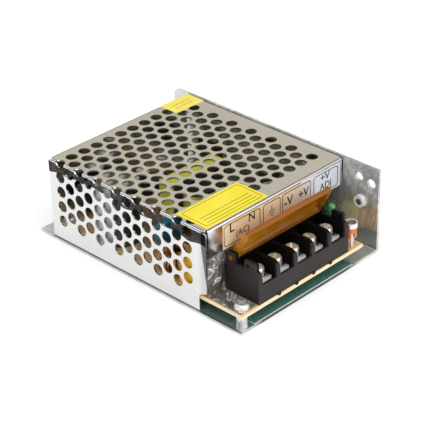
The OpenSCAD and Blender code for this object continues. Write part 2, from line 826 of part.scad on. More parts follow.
// The front left screw holds the bay film down too
function screw_seat(p) = pcb_top + (p == standoff_at[0] ? film_t : 0);

module floor_film() {
  x0 = standoff_at[0][0] + standoff_d / 2 + film_gap;
  x1 = standoff_at[3][0] - standoff_d / 2 - film_gap;
  color("honeydew") box(x0, x1, pcb_y0, pcb_y1, chassis_t, chassis_t + film_t);
}

module bay_film() {
  x0 = cover_in + pcb_side_gap;
  x1 = block_x0 - film_gap;
  y1 = lip_in + film_gap;
  color("lightcyan") difference() {
    union() {
      box(x0, x1, pcb_y0 + 1, y1, pcb_top, pcb_top + film_t);
      box(x0, x1, y1 - film_t, y1, pcb_top, case_h - lip_drop + film_tuck);
    }
    translate([standoff_at[0][0], standoff_at[0][1], pcb_top - 1]) cylinder(d = pcb_hole_d, h = 2);
  }
}

// ---- labels ----

module terminal_label() {
  x1 = lip_x1 - term_label_edge;
  z0 = case_h - lip_drop + term_label_rise;
  color("whitesmoke") box(x1 - term_label_l, x1, cover_y0 - label_t, cover_y0, z0, z0 + term_label_h);
}

module top_label() {
  x0 = cover_x0 + top_label_x;
  y0 = cover_y0 + top_label_y;
  color("gold") box(x0, x0 + top_label_l, y0, y0 + top_label_w, case_h, case_h + label_t);
}

module rear_label() {
  x1 = cover_x1 - label_edge;
  y1 = cover_y1 - label_edge;
  color("gold") box(x1 - rear_label_l, x1, y1 - rear_label_w, y1, case_h, case_h + label_t);
}

// ---- terminal block ----

// Side view of a barrier, with its front face at y = 0
module barrier_2d() {
  translate([0, 0]) square([block_d, barrier_h - barrier_r]);
  translate([barrier_r, 0]) square([block_d - barrier_r, barrier_h]);
  translate([barrier_r, barrier_h - barrier_r]) circle(barrier_r);
}

// Side view of an end wall with its two ears
module end_wall_2d() {
  slot_0 = ear_front + ear_l;
  difference() {
    union() {
      barrier_2d();
      translate([ear_front, 0]) square([block_d - ear_front, ear_h - 1]);
      translate([ear_front + 1, 0]) square([block_d - ear_front - 2, ear_h]);
      for (y = [ear_front + 1, block_d - 1]) translate([y, ear_h - 1]) circle(1);
    }
    translate([slot_0, ear_slot_h]) square([ear_slot_l, ear_h]);
    translate([slot_0 - 1.5, ear_h - catch_drop]) circle(d = catch_d);
    translate([block_d - hinge_back, hinge_h]) circle(d = hinge_d + 2 * slack);
  }
}

// Room for a contact's solder tail
module tail_slot(x, z0, z1) {
  box(x - tail_w / 2 - slack, x + tail_w / 2 + slack, tail_y - contact_t - slack, tail_y + slack, z0, z1);
}

module terminal_block() {
  color("#3a3636") difference() {
    union() {
      for (x = [block_x0, block_x1 - end_t]) plate_yz(x, x + end_t)
        translate([block_y0, pcb_top]) end_wall_2d();
      for (i = [0 : ways - 2]) plate_yz(way_x(i) + cell_w / 2, way_x(i) + cell_w / 2 + barrier_t)
        translate([block_y0, pcb_top]) barrier_2d();
      box(block_x0 + 1, block_x1 - 1, block_y0, block_y1, pcb_top, seat_z);
      box(block_x0 + 1, block_x1 - 1, block_y0, block_y0 + block_wall_t, pcb_top, pcb_top + front_wall_h);
      box(block_x0 + 1, block_x1 - 1, block_y1 - block_wall_t, block_y1, pcb_top, pcb_top + rear_wall_h);
    }
    // the rear of each barrier is cut down, clear of the cover
    for (i = [0 : ways - 2]) box(way_x(i) + cell_w / 2 - eps, way_x(i) + cell_w / 2 + barrier_t + eps,
      block_y1 - barrier_back, block_y1 + 1, pcb_top + rear_wall_h, pcb_top + ear_h);
    for (i = [0 : ways - 1]) {
      translate([way_x(i), screw_y, pcb_top + well_floor]) cylinder(d = well_d, h = seat_h);
      tail_slot(way_x(i), pcb_top - 1, seat_z + 1);
    }
    for (i = [0 : ways - 2]) box(way_x(i) + cell_w / 2 + barrier_t / 2 - foot_gap / 2,
      way_x(i) + cell_w / 2 + barrier_t / 2 + foot_gap / 2,
      block_y0 - 1, block_y0 + foot_gap, pcb_top - 1, pcb_top + foot_gap / 2);
  }
}

module terminal_contacts() {
  color("lightgray") for (i = [0 : ways - 1]) difference() {
    union() {
      box(way_x(i) - contact_w / 2, way_x(i) + contact_w / 2, tail_y - contact_l, tail_y, seat_z, contact_z);
      box(way_x(i) - tail_w / 2, way_x(i) + tail_w / 2, tail_y - contact_t, tail_y,
        pcb_z0 - tail_drop, seat_z + eps);
    }
    translate([way_x(i), screw_y, seat_z - 1]) cylinder(d = term_screw_d + 2 * slack, h = contact_t + 2);
  }
}

module wire_clamp(i) {
  rib = 0.35;
  color("gainsboro") translate([way_x(i), screw_y, contact_z]) difference() {
    translate([-clamp_w / 2, -clamp_l / 2, 0]) cube([clamp_w, clamp_l, clamp_t]);
    translate([0, 0, -1]) cylinder(d = term_screw_d + 2 * slack, h = clamp_t + 2);
    // grooves across both wings
    for (y = [-clamp_l / 2 + 0.7, clamp_l / 2 - 0.7])
      translate([-clamp_w / 2 - 1, y - rib / 2, clamp_t - rib]) cube([clamp_w + 2, rib, rib + 1]);
  }
}

module spring_washer(i) {
  color("silver") translate([way_x(i), screw_y, clamp_z]) difference() {
    cylinder(d = spring_d, h = spring_t);
    translate([0, 0, -1]) cylinder(d = term_screw_d + 2 * slack, h = spring_t + 2);
    translate([0, 0, spring_t / 2]) rotate([0, 25, -50]) translate([0, -0.25, -spring_t * 2])
      cube([spring_d, 0.5, spring_t * 4]);
  }
}

module terminal_screw(i) {
  color("gainsboro") translate([way_x(i), screw_y, head_z]) rotate(25 * i)
    pan_screw(term_screw_d, term_head_d, pan_h, term_shank_l);
}

// Side view of the closed cover, hinge at the origin, free edge towards -Y
module flap_2d() {
  top = flap_rise;
  translate([-flap_l + flap_r, top - flap_t]) square([flap_l - flap_r + cheek_r - 0.4, flap_t]);
  translate([-flap_l, lip_rise]) square([flap_t, top - flap_r - lip_rise + eps]);
  intersection() {
    translate([-flap_l + flap_r, top - flap_r]) difference() {
      circle(flap_r);
      circle(flap_r - flap_t + eps);
    }
    translate([-flap_l, top - flap_r]) square(flap_r + eps);
  }
}

// Side view of one of its end cheeks
module cheek_2d() {
  circle(cheek_r);
  polygon([
    [cheek_r - 0.4, flap_rise], [-flap_l + flap_r, flap_rise], [-flap_l, flap_rise - flap_r],
    [-flap_l, lip_rise], [-2.6, -cheek_r + 0.4], [0, -cheek_r], [cheek_r - 0.4, 0]
  ]);
}

module terminal_cover() {
  color([0.72, 0.42, 0.06]) translate([0, hinge_y, hinge_z]) rotate([-cover_open, 0, 0]) {
    plate_yz(flap_x0, flap_x1) flap_2d();
    for (x = [flap_x0, flap_x1 - cheek_t]) plate_yz(x, x + cheek_t) cheek_2d();
    for (x = [block_x0, flap_x1 - eps]) translate([x, 0, 0]) rotate([0, 90, 0])
      cylinder(d = hinge_d, h = end_t + flap_gap + eps);
  }
}

// ---- trimmer and lamp ----

module trimmer_base() {
  color("darkorange") translate([trim_x, trim_y, 0]) {
    difference() {
      translate([0, 0, trim_base_z]) cylinder(d = trimmer_base_d, h = trimmer_base_h);
      for (a = [0 : 120 : 240]) rotate(a) {
        translate([trimmer_base_d / 5, -trimmer_leg_w / 2, trim_base_z - 1])
          cube([trimmer_base_d, trimmer_leg_w, trimmer_arch_h + 1 - trimmer_leg_w / 2]);
        translate([trimmer_base_d / 5, 0, trim_base_z + trimmer_arch_h - trimmer_leg_w / 2])
          rotate([0, 90, 0]) cylinder(d = trimmer_leg_w, h = trimmer_base_d);
      }
    }
    translate([0, 0, trim_base_z + trimmer_base_h - eps]) cylinder(d = rotor_pin_d, h = rotor_h * 0.7);
  }
}

module trimmer_rotor() {
  color("whitesmoke") translate([trim_x, trim_y, rotor_z]) difference() {
    cylinder(d = rotor_d, h = rotor_h);
    translate([0, 0, rotor_h - rotor_dish]) cylinder(d = rotor_d - 2 * rotor_rim, h = 1);
    translate([0, 0, -1]) cylinder(d = rotor_pin_d + 2 * slack, h = rotor_h * 0.7 + 1);
    rotate(-30) translate([rotor_rim + 0.1 - rotor_d / 2, -slot_w / 2, rotor_h * 0.5])
      cube([rotor_d - 2 * rotor_rim - 0.2, slot_w, rotor_h]);
  }
}

module trimmer_legs() {
  color("silver") translate([trim_x, trim_y, 0]) for (a = [0 : 120 : 240]) rotate(a)
    translate([trimmer_base_d / 5 + 0.1, 0.2 - trimmer_leg_w / 2, pcb_top])
      cube([lead_t, trimmer_leg_w - 0.4, trim_base_z + trimmer_arch_h - trimmer_leg_w / 2 - pcb_top]);
}

module status_lamp() {
  color("limegreen") translate([lamp_x, lamp_y, lamp_z]) {
    cylinder(d = led_d, h = led_h - led_d / 2);
    translate([0, 0, led_h - led_d / 2]) intersection() {
      sphere(d = led_d);
      translate([-led_d, -led_d, -eps]) cube(2 * led_d);
    }
    cylinder(d = led_flange_d, h = 0.8);
  }
}

module lamp_leads() {
  color("silver") for (s = [-1, 1]) translate([lamp_x, lamp_y + s * 1.27, pcb_top])
    translate([-lead_t / 2, -lead_t / 2, 0]) cube([lead_t, lead_t, lamp_z - pcb_top]);
}

// ---- transformer ----

core_x = pcb_x0 + transformer_x;
core_y = cover_y0 + transformer_y;
core_z = pcb_top + core_lift;
window_z0 = core_z + core_leg;
window_h = core_h - 2 * core_leg;
centre_leg = 2 * core_leg;

module transformer_core() {
  color("#2f2f33") translate([core_x, core_y, core_z]) difference() {
    translate([-core_w / 2, -core_d / 2, 0]) cube([core_w, core_d, core_h]);
    for (s = [-1, 1]) translate([s * (core_w - 2 * core_leg + centre_leg) / 4, 0, core_h / 2])
      cube([(core_w - 2 * core_leg - centre_leg) / 2, core_d + 2, window_h], center = true);
  }
}

// Outline of what fits round the centre leg, g larger on each side
module leg_2d(g) {
  square([centre_leg + 2 * g, core_d + 2 * g], center = true);
}

module winding_2d() {
  w = core_w - 2 * core_leg - 2 * winding_gap;
  r = winding_r;
  square([w, winding_d - 2 * r], center = true);
  square([w - 2 * r, winding_d], center = true);
  for (x = [-1, 1], y = [-1, 1]) translate([x * (w / 2 - r), y * (winding_d / 2 - r)]) circle(r);
}

module transformer_bobbin() {
  color("#26241f") translate([core_x, core_y, window_z0 + slack]) difference() {
    union() {
      for (z = [0, window_h - 2 * slack - bobbin_t]) translate([0, 0, z])
        linear_extrude(bobbin_t) winding_2d();
      linear_extrude(window_h - 2 * slack) leg_2d(slack + bobbin_t);
    }
    translate([0, 0, -1]) linear_extrude(core_h) leg_2d(slack);
  }
}

module transformer_winding() {
  color("gold") translate([core_x, core_y, window_z0 + slack + bobbin_t])
    linear_extrude(window_h - 2 * slack - 2 * bobbin_t) difference() {
      offset_winding_2d();
      leg_2d(slack + bobbin_t);
    }
}

// The winding stays inside the bobbin's flanges
module offset_winding_2d() {
  scale(0.96) winding_2d();
}

module transformer_tape() {
  color("gold") translate([core_x, core_y, core_z]) difference() {
    translate([-core_w / 2 - tape_t, -tape_w / 2, -tape_t])
      cube([core_w + 2 * tape_t, tape_w, core_h + 2 * tape_t]);
    translate([-core_w / 2, -tape_w, 0]) cube([core_w, 2 * tape_w, core_h]);
  }
}

// ---- mains side ----

// Standing can with a rolled top and a rubber base
module can(d, h) {
  difference() {
    cylinder(d = d, h = h);
    translate([0, 0, h - 0.3]) cylinder(d = d - 1.4, h = 1);
    translate([0, 0, 1.2]) rotate_extrude() translate([d / 2 + 0.15, 0]) circle(0.6);
  }
}

bulk_x = pcb_x0 + bulk_d / 2 + bulk_gap;

module bulk_capacitor() {
  color("#1d1d20") translate([bulk_x, cover_y0 + bulk_y, pcb_top]) can(bulk_d, bulk_h);
}

module mains_capacitor() {
  x0 = pcb_x0 + x_cap_x;
  y0 = cover_y0 + x_cap_y;
  color("gold") box(x0, x0 + x_cap_w, y0, y0 + x_cap_l, pcb_top, pcb_top + x_cap_h);
}

fuse_x = pcb_x0 + fuse_inset;
fuse_y0 = cover_y0 + fuse_back;
fuse_z = pcb_top + fuse_d / 2 + clip_t + clip_lift;

module fuse() {
  color("lightgray") translate([fuse_x, fuse_y0 + fuse_l, fuse_z]) rotate([90, 0, 0]) {
    cylinder(d = fuse_d - 2 * slack, h = fuse_cap_l);
    translate([0, 0, fuse_l - fuse_cap_l]) cylinder(d = fuse_d - 2 * slack, h = fuse_cap_l);
    translate([0, 0, fuse_cap_l - eps]) cylinder(d = fuse_d - 0.6, h = fuse_l - 2 * fuse_cap_l + 2 * eps);
  }
}

module fuse_clips() {
  r = fuse_d / 2 + clip_t;
  gap = (fuse_cap_l - clip_w) / 2;
  color("silver") for (y = [fuse_y0 + gap, fuse_y0 + fuse_l - gap - clip_w]) plate_xz(y, y + clip_w)
    translate([fuse_x, fuse_z]) difference() {
      union() {
        circle(r);
        translate([-r, -r - clip_lift]) square([2 * r, clip_lift + 2 * clip_t]);
      }
      circle(d = fuse_d);
      translate([-r - 1, fuse_d * 0.2]) square(2 * r + 2);
    }
}

// Round wafer standing on its edge on two leads
module wafer(d, t, lift) {
  translate([0, t / 2, lift + d / 2]) rotate([90, 0, 0]) cylinder(d = d, h = t);
  for (s = [-1, 1]) translate([s * d / 4 - lead_t / 2, -lead_t / 2, 0]) cube([lead_t, lead_t, lift + d / 3]);
}

module thermistor() {
  color("#2b3330") translate([fuse_x + ntc_x, cover_y0 + ntc_y, pcb_top]) wafer(ntc_d, ntc_t, wafer_lift);
}

module ring(d_out, d_in, h) {
  difference() {
    cylinder(d = d_out, h = h);
    translate([0, 0, -1]) cylinder(d = d_in, h = h + 2);
  }
}

// Wire wound round a ring over a part of its turn
module ring_winding(d_out, d_in, h, a) {
  rotate(-a / 2) rotate_extrude(angle = a) difference() {
    translate([d_in / 2 - wire_t, -wire_t]) square([(d_out - d_in) / 2 + 2 * wire_t, h + 2 * wire_t]);
    translate([d_in / 2, 0]) square([(d_out - d_in) / 2, h]);
  }
}

choke_at = [pcb_x0 + choke_gap + choke_d / 2 + wire_t, cover_y0 + choke_y, pcb_top + wire_t];

module choke_core() {
  color("#3c4640") translate(choke_at) ring(choke_d, choke_bore, choke_h);
}

module choke_winding() {
  color("peru") translate(choke_at) for (s = [0, 180]) rotate(s)
    ring_winding(choke_d, choke_bore, choke_h, choke_turn);
}

module bridge_rectifier() {
  x0 = pcb_x0 + bridge_x;
  y1 = pcb_y1 - bridge_back;
  z0 = pcb_top + wafer_lift;
  pitch = (bridge_l - 3) / 3;
  color("#202022") difference() {
    box(x0, x0 + bridge_l, y1 - bridge_t, y1, z0, z0 + bridge_h);
    translate([x0 + bridge_l, y1 - bridge_t / 2, z0 + bridge_h]) rotate([0, 45, 0])
      cube([bridge_t, bridge_t + 2, bridge_t], center = true);
  }
  color("silver") for (i = [0 : 3]) translate([x0 + 1.5 + i * pitch, y1 - bridge_t / 2, 0])
    box(-lead_t / 2, lead_t / 2, -lead_t / 2, lead_t / 2, pcb_top, z0 + eps);
}

module disc_capacitors() {
  color("steelblue") {
    translate([pcb_x0 + disc_x, cover_y0 + disc_y, pcb_top]) rotate(90) wafer(disc_d, disc_t, wafer_lift);
    translate([core_x - disc_side, core_y - winding_d / 2 - disc_gap, pcb_top])
      wafer(disc_d, disc_t, wafer_lift);
  }
}

module surge_arrester() {
  color("royalblue") translate([pcb_x0 + mov_x, cover_y0 + mov_y, pcb_top]) wafer(mov_d, mov_t, wafer_lift);
}

// ---- output side ----

// Power device with its tab against the pad on the wall
module device(y) {
  x1 = device_x1;
  color("#1c1c1e") difference() {
    box(x1 - device_t, x1 - eps, y - device_w / 2, y + device_w / 2, device_z, device_z + device_h);
    box(x1 - device_tab_t, x1 + 1, y - device_w, y + device_w, device_z - 1, device_z + device_h + 1);
  }
  color("silver") difference() {
    box(x1 - device_tab_t, x1, y - device_w / 2, y + device_w / 2, device_z, device_z + device_h + device_tab_h);
    translate([x1 + 1, y, device_hole_z]) rotate([0, -90, 0]) cylinder(d = screw_d + 2 * slack, h = 4);
  }
  color("silver") for (i = [-1, 0, 1]) {
    x = x1 - device_t / 2 - lead_t / 2;
    box(x - lead_t / 2, x + lead_t / 2, y + i * lead_pitch - lead_t / 2, y + i * lead_pitch + lead_t / 2,
      pcb_top - 0.6, device_z + eps);
    box(pcb_x1 - 1.6, x + lead_t / 2, y + i * lead_pitch - lead_t / 2, y + i * lead_pitch + lead_t / 2,
      pcb_top + 0.4, pcb_top + 0.4 + lead_t);
  }
}

module switching_transistor() {
  device(device_y[0]);
}

module output_rectifier() {
  device(device_y[1]);
}

module insulating_pads() {
  color("lightsteelblue") for (y = device_y) difference() {
    box(device_x1, wall_in, y - device_w / 2 - pad_edge, y + device_w / 2 + pad_edge,
      device_z - pad_edge, device_z + device_h + device_tab_h + pad_edge);
    translate([wall_in + 1, y, device_hole_z]) rotate([0, -90, 0]) cylinder(d = screw_d + 2 * slack, h = 4);
  }
}

// Countersunk screws through the wall, each with its nut on the device's tab
module device_screws() {
  nut_h = 2;
  nut_x = device_x1 - device_tab_t - nut_h;
  color("dimgray") for (y = device_y) at_wall(y, device_hole_z) {
    difference() {
      union() {
        translate([0, 0, -csk_h]) cylinder(d1 = screw_d, d2 = csk_d, h = csk_h);
        translate([0, 0, nut_x - x_right - 0.6]) cylinder(d = screw_d, h = x_right - nut_x);
      }
      for (a = [0, 90]) rotate(a) translate([-csk_d * 0.3, -recess_w / 2, -csk_h * 0.8])
        cube([csk_d * 0.6, recess_w, csk_h]);
    }
    translate([0, 0, nut_x - x_right]) cylinder(d = csk_d, h = nut_h, $fn = 6);
  }
}

out_cap_x = pcb_x1 - out_cap_d / 2 - out_cap_edge;

module output_capacitors() {
  color("#23324a") for (i = [0 : 2])
    translate([out_cap_x - (i == 2 ? out_cap_pitch : 0), cover_y0 + out_cap_y + out_cap_pitch * (i % 2), pcb_top])
      can(out_cap_d, out_cap_h);
}

coil_at = [out_cap_x - coil_x, cover_y0 + coil_y + coil_d / 2, pcb_top + wire_t];

module inductor_core() {
  color("goldenrod") translate(coil_at) ring(coil_d, coil_bore, coil_h);
}

module inductor_winding() {
  color("peru") translate(coil_at) rotate(90) ring_winding(coil_d, coil_bore, coil_h, coil_turn);
}

// Dual in-line package with n legs on each side
module dip(l, n) {
  color("#1b1b1d") box(-l / 2, l / 2, -chip_w / 2, chip_w / 2, chip_lift, chip_lift + chip_h);
  color("silver") for (i = [0 : n - 1], s = [-1, 1]) {
    x = (i - (n - 1) / 2) * lead_pitch;
    y = s * (chip_w / 2 + 0.2);
    box(x - lead_t / 2, x + lead_t / 2, y - 0.35, y + 0.35, 0, chip_lift + chip_h / 2);
  }
}

module control_chip() {
  translate([core_x + chip_x, pcb_y1 - chip_back, pcb_top]) dip(chip_l, 4);
}

module optocoupler() {
  translate([core_x + opto_x, core_y + opto_y, pcb_top]) rotate(90) dip(opto_l, 2);
}

module power_resistors() {
  z = res_d / 2 + res_lift;
  bend = res_l / 2 + 1.2;
  color("tan") for (i = [0, 1]) translate([core_x + res_x, core_y - res_y + i * res_pitch, pcb_top + z]) {
    translate([-res_l / 2, 0, 0]) rotate([0, 90, 0]) cylinder(d = res_d, h = res_l);
    cube([2 * bend + lead_t, lead_t, lead_t], center = true);
    for (s = [-1, 1]) translate([s * bend, 0, -z / 2]) cube([lead_t, lead_t, z], center = true);
  }
}

module small_capacitors() {
  color("#23324a") for (i = [0 : 2]) translate([core_x + aux_x[i], pcb_y1 - aux_back[i], pcb_top])
    can(aux_cap_d, aux_cap_h);
}

// ---- output ----

chassis();
mesh_cover();
cover_screws();
standoffs();
pcb();
pcb_screws();
floor_film();
bay_film();
terminal_label();
top_label();
rear_label();
terminal_block();
terminal_contacts();
terminal_cover();
wire_clamp(0);  // wire_clamp_1
wire_clamp(1);  // wire_clamp_2
wire_clamp(2);  // wire_clamp_3
wire_clamp(3);  // wire_clamp_4
wire_clamp(4);  // wire_clamp_5
spring_washer(0);  // spring_washer_1
spring_washer(1);  // spring_washer_2
spring_washer(2);  // spring_washer_3
spring_washer(3);  // spring_washer_4
spring_washer(4);  // spring_washer_5
terminal_screw(0);  // terminal_screw_1
terminal_screw(1);  // terminal_screw_2
terminal_screw(2);  // terminal_screw_3
terminal_screw(3);  // terminal_screw_4
terminal_screw(4);  // terminal_screw_5
trimmer_base();
trimmer_rotor();
trimmer_legs();
status_lamp();
lamp_leads();
transformer_core();
transformer_bobbin();
transformer_winding();
transformer_tape();
bulk_capacitor();
mains_capacitor();
fuse();
fuse_clips();
thermistor();
choke_core();
choke_winding();
bridge_rectifier();
surge_arrester();
disc_capacitors();
switching_transistor();
output_rectifier();
insulating_pads();
device_screws();
output_capacitors();
inductor_core();
inductor_winding();
control_chip();
optocoupler();
power_resistors();
small_capacitors();
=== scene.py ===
import bpy
import bmesh
import json
import math
from mathutils import Matrix, Vector, noise


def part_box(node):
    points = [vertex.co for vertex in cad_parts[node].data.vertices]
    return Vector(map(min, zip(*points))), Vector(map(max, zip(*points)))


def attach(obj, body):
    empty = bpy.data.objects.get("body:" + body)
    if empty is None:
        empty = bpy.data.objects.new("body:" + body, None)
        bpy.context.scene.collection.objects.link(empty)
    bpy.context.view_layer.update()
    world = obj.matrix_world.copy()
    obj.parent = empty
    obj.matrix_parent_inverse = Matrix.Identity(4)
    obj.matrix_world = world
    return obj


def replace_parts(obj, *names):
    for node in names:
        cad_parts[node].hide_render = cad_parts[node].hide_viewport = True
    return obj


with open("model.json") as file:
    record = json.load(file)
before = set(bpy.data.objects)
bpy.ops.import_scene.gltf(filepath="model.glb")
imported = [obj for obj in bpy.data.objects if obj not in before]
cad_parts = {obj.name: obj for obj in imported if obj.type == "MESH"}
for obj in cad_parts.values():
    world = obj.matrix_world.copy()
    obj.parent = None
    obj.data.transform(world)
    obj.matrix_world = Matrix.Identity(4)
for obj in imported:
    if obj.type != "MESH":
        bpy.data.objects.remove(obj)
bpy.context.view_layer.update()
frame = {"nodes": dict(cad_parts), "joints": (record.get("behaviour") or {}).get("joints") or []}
nodes = frame["nodes"]
mm = 0.001
coverHinge = next(joint for joint in frame["joints"] if joint["child"] == "terminal_cover")["pos_m"]
print("frame loaded:", len(nodes), "nodes")


def nodeBox(name):
    low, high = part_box(name)
    return Vector(low), Vector(high)


def solidBoxes(name):  # box of each loose solid of a node, left to right
    bm = bmesh.new()
    bm.from_mesh(nodes[name].data)
    bmesh.ops.remove_doubles(bm, verts=bm.verts, dist=1e-6)
    seen = set()
    boxes = []
    for start in bm.verts:
        if start in seen:
            continue
        stack = [start]
        seen.add(start)
        low, high = start.co.copy(), start.co.copy()
        while stack:
            vert = stack.pop()
            low = Vector(map(min, low, vert.co))
            high = Vector(map(max, high, vert.co))
            for edge in vert.link_edges:
                other = edge.other_vert(vert)
                if other not in seen:
                    seen.add(other)
                    stack.append(other)
        boxes.append((low, high))
    bm.free()
    return sorted(boxes, key=lambda b: (round(b[0].x, 4), round(b[0].y, 4)))


# camera: a long lens over the front left corner
cameraSettings = {
    "lens": 131.68,
    "sensor": 36,
    "nearest": 0.01,
    "location": Vector((-370.31, -373.06, 318.05)) * mm,
    "target": Vector((0.36, -3.11, 14.0)) * mm,
    "roll": math.radians(-1.544),
}


def makeCamera():
    data = bpy.data.cameras.new("productCamera")
    data.lens = cameraSettings["lens"]
    data.sensor_width = cameraSettings["sensor"]
    data.clip_start = cameraSettings["nearest"]
    camera = bpy.data.objects.new("productCamera", data)
    bpy.context.scene.collection.objects.link(camera)
    forward = (cameraSettings["target"] - cameraSettings["location"]).normalized()
    level = forward.cross(Vector((0, 0, 1))).normalized()
    above = level.cross(forward)
    roll = cameraSettings["roll"]
    right = level * math.cos(roll) + above * math.sin(roll)
    up = right.cross(forward)
    matrix = Matrix((right, up, -forward)).transposed().to_4x4()
    matrix.translation = cameraSettings["location"]
    camera.matrix_world = matrix
    bpy.context.scene.camera = camera


makeCamera()
print("camera placed")


# node helpers shared by the materials and the world
def addNode(tree, kind, inputs=(), **settings):
    made = tree.nodes.new(kind)
    for key, value in settings.items():
        setattr(made, key, value)
    for key, value in dict(inputs).items():
        if isinstance(value, bpy.types.NodeSocket):
            tree.links.new(value, made.inputs[key])
        else:
            made.inputs[key].default_value = value
    return made


def addRamp(tree, fac, stops):
    made = addNode(tree, "ShaderNodeValToRGB", {"Fac": fac})
    elements = made.color_ramp.elements
    while len(elements) < len(stops):
        elements.new(0.5)
    for element, (position, colour) in zip(elements, stops):
        element.position = position
        element.color = (*colour, 1)
    return made.outputs["Color"]


class Shader:  # a material with its principled shader and a few shortcuts
    def __init__(self, name):
        self.mat = bpy.data.materials.new(name)
        self.mat.use_nodes = True
        self.tree = self.mat.node_tree
        self.bsdf = self.tree.nodes["Principled BSDF"]
        self.coords = self.tree.nodes.new("ShaderNodeTexCoord").outputs["Object"]

    def set(self, **values):
        names = {"colour": "Base Color", "metal": "Metallic", "rough": "Roughness", "ior": "IOR",
                 "coat": "Coat Weight", "coatRough": "Coat Roughness", "clear": "Transmission Weight",
                 "specular": "Specular IOR Level", "glow": "Emission Color"}
        for key, value in values.items():
            self.bsdf.inputs[names[key]].default_value = value
        return self

    def wire(self, out, socket):
        self.tree.links.new(out, self.bsdf.inputs[socket])

    def node(self, kind, inputs=(), **settings):
        return addNode(self.tree, kind, inputs, **settings)

    def stretched(self, scale):  # object coordinates scaled per axis
        return self.node("ShaderNodeMapping", {"Vector": self.coords, "Scale": scale}).outputs[0]

    def noise(self, scale, detail=3, vector=None, roughness=0.5, distortion=0):
        made = self.node("ShaderNodeTexNoise", {"Vector": vector or self.coords, "Scale": scale,
                                                "Detail": detail, "Roughness": roughness,
                                                "Distortion": distortion})
        return made.outputs["Fac"]

    def ramp(self, fac, stops):
        return addRamp(self.tree, fac, stops)

    def levels(self, fac, low, high, start=0.0, end=1.0):
        made = self.node("ShaderNodeMapRange", {"Value": fac, "From Min": start, "From Max": end,
                                                "To Min": low, "To Max": high})
        return made.outputs["Result"]

    def math(self, operation, a, b=0.0):
        return self.node("ShaderNodeMath", {0: a, 1: b}, operation=operation).outputs[0]

    def fold(self, operation, values):
        out = values[0]
        for value in values[1:]:
            out = self.math(operation, out, value)
        return out

    def times(self, *values):
        return self.fold("MULTIPLY", values)

    def plus(self, *values):
        return self.fold("ADD", values)

    def most(self, *values):
        return self.fold("MAXIMUM", values)

    def minus(self, a, b):
        return self.math("SUBTRACT", a, b)

    def inverse(self, value):
        return self.minus(1.0, value)

    def mix(self, fac, a, b):
        inputs = {0: fac}
        for index, colour in ((6, a), (7, b)):
            inputs[index] = (*colour, 1) if isinstance(colour, tuple) else colour
        return self.node("ShaderNodeMix", inputs, data_type="RGBA").outputs[2]

    def axis(self, index):  # one object coordinate in metres
        return self.node("ShaderNodeSeparateXYZ", {"Vector": self.coords}).outputs[index]

    def facing(self, index):  # one part of the face's own direction
        geometry = self.node("ShaderNodeNewGeometry")
        parts = self.node("ShaderNodeSeparateXYZ", {"Vector": geometry.outputs["True Normal"]})
        return parts.outputs[index]

    def cutFaces(self):  # the upright faces of a flat sheet
        return self.math("LESS_THAN", self.math("ABSOLUTE", self.facing(2)), 0.5)

    def above(self, value, limit, blur=0.00005):  # 0 below the limit, 1 above it
        made = self.node("ShaderNodeMapRange", {"Value": value, "From Min": limit - blur,
                                                "From Max": limit + blur}, clamp=True)
        return made.outputs["Result"]

    def below(self, value, limit, blur=0.00005):  # 1 below the limit, 0 above it
        return self.inverse(self.above(value, limit, blur))

    def bump(self, height, strength, distance):
        made = self.node("ShaderNodeBump", {"Height": height, "Strength": strength, "Distance": distance})
        self.wire(made.outputs["Normal"], "Normal")

    def distance(self, centre, flat=(1, 1, 1)):  # distance from a point, along the axes kept by flat
        moved = self.node("ShaderNodeVectorMath", {0: self.coords, 1: centre}, operation="SUBTRACT")
        kept = self.node("ShaderNodeVectorMath", {0: moved.outputs[0], 1: flat}, operation="MULTIPLY")
        return self.node("ShaderNodeVectorMath", {0: kept.outputs[0]}, operation="LENGTH").outputs["Value"]


# metals
chassisFinish = {
    "tints": [(0.32, (0.60, 0.60, 0.59)), (0.55, (0.78, 0.78, 0.77)), (0.72, (0.93, 0.93, 0.92))],
    "smudge": (0.45, 0.46, 0.44), "blotch": (0.40, 0.42, 0.41), "scuff": (0.90, 0.90, 0.89),
    "reflectionTints": [(0.36, (0.42, 0.34, 0.20)), (0.5, (0.84, 0.62, 0.38)), (0.64, (0.86, 0.80, 0.46))],
    "reflectionFrom": 7.5, "reflectionTo": 19.5, "reflectionDull": 0.62,  # painted reflection of the amber cover and board, a band on the bay's inner wall
    "paintedLedgeShade": (0.07, 0.07, 0.08), "rearEnd": (0.93, 0.93, 0.92), "dark": (0.055, 0.065, 0.06),
    "collar": (0.96, 0.96, 0.95), "collarRadius": 2.55, "boreRadius": 1.3,
    "collars": [(8.6, 19.9), (106.0, 19.9)],  # tapped holes, along and up from the chassis's corner
    "wallWide": 6.0, "wallClouds": (1.0, 27.0), "sheet": 1.1, "floorTop": 1.3, "ledge": (0.6, 0.9),
    "tab": 3.0, "darkEdge": (9.0, 15.0), "clearFloor": (8.0, 17.0),  # from the left and from the right side
    "floorHaze": 0.5, "leftHaze": 0.5, "tabHaze": 0.9, "rearHaze": 0.8, "dulling": 0.75,
    "rough": (0.08, 0.15), "hazeRough": 0.4,
}


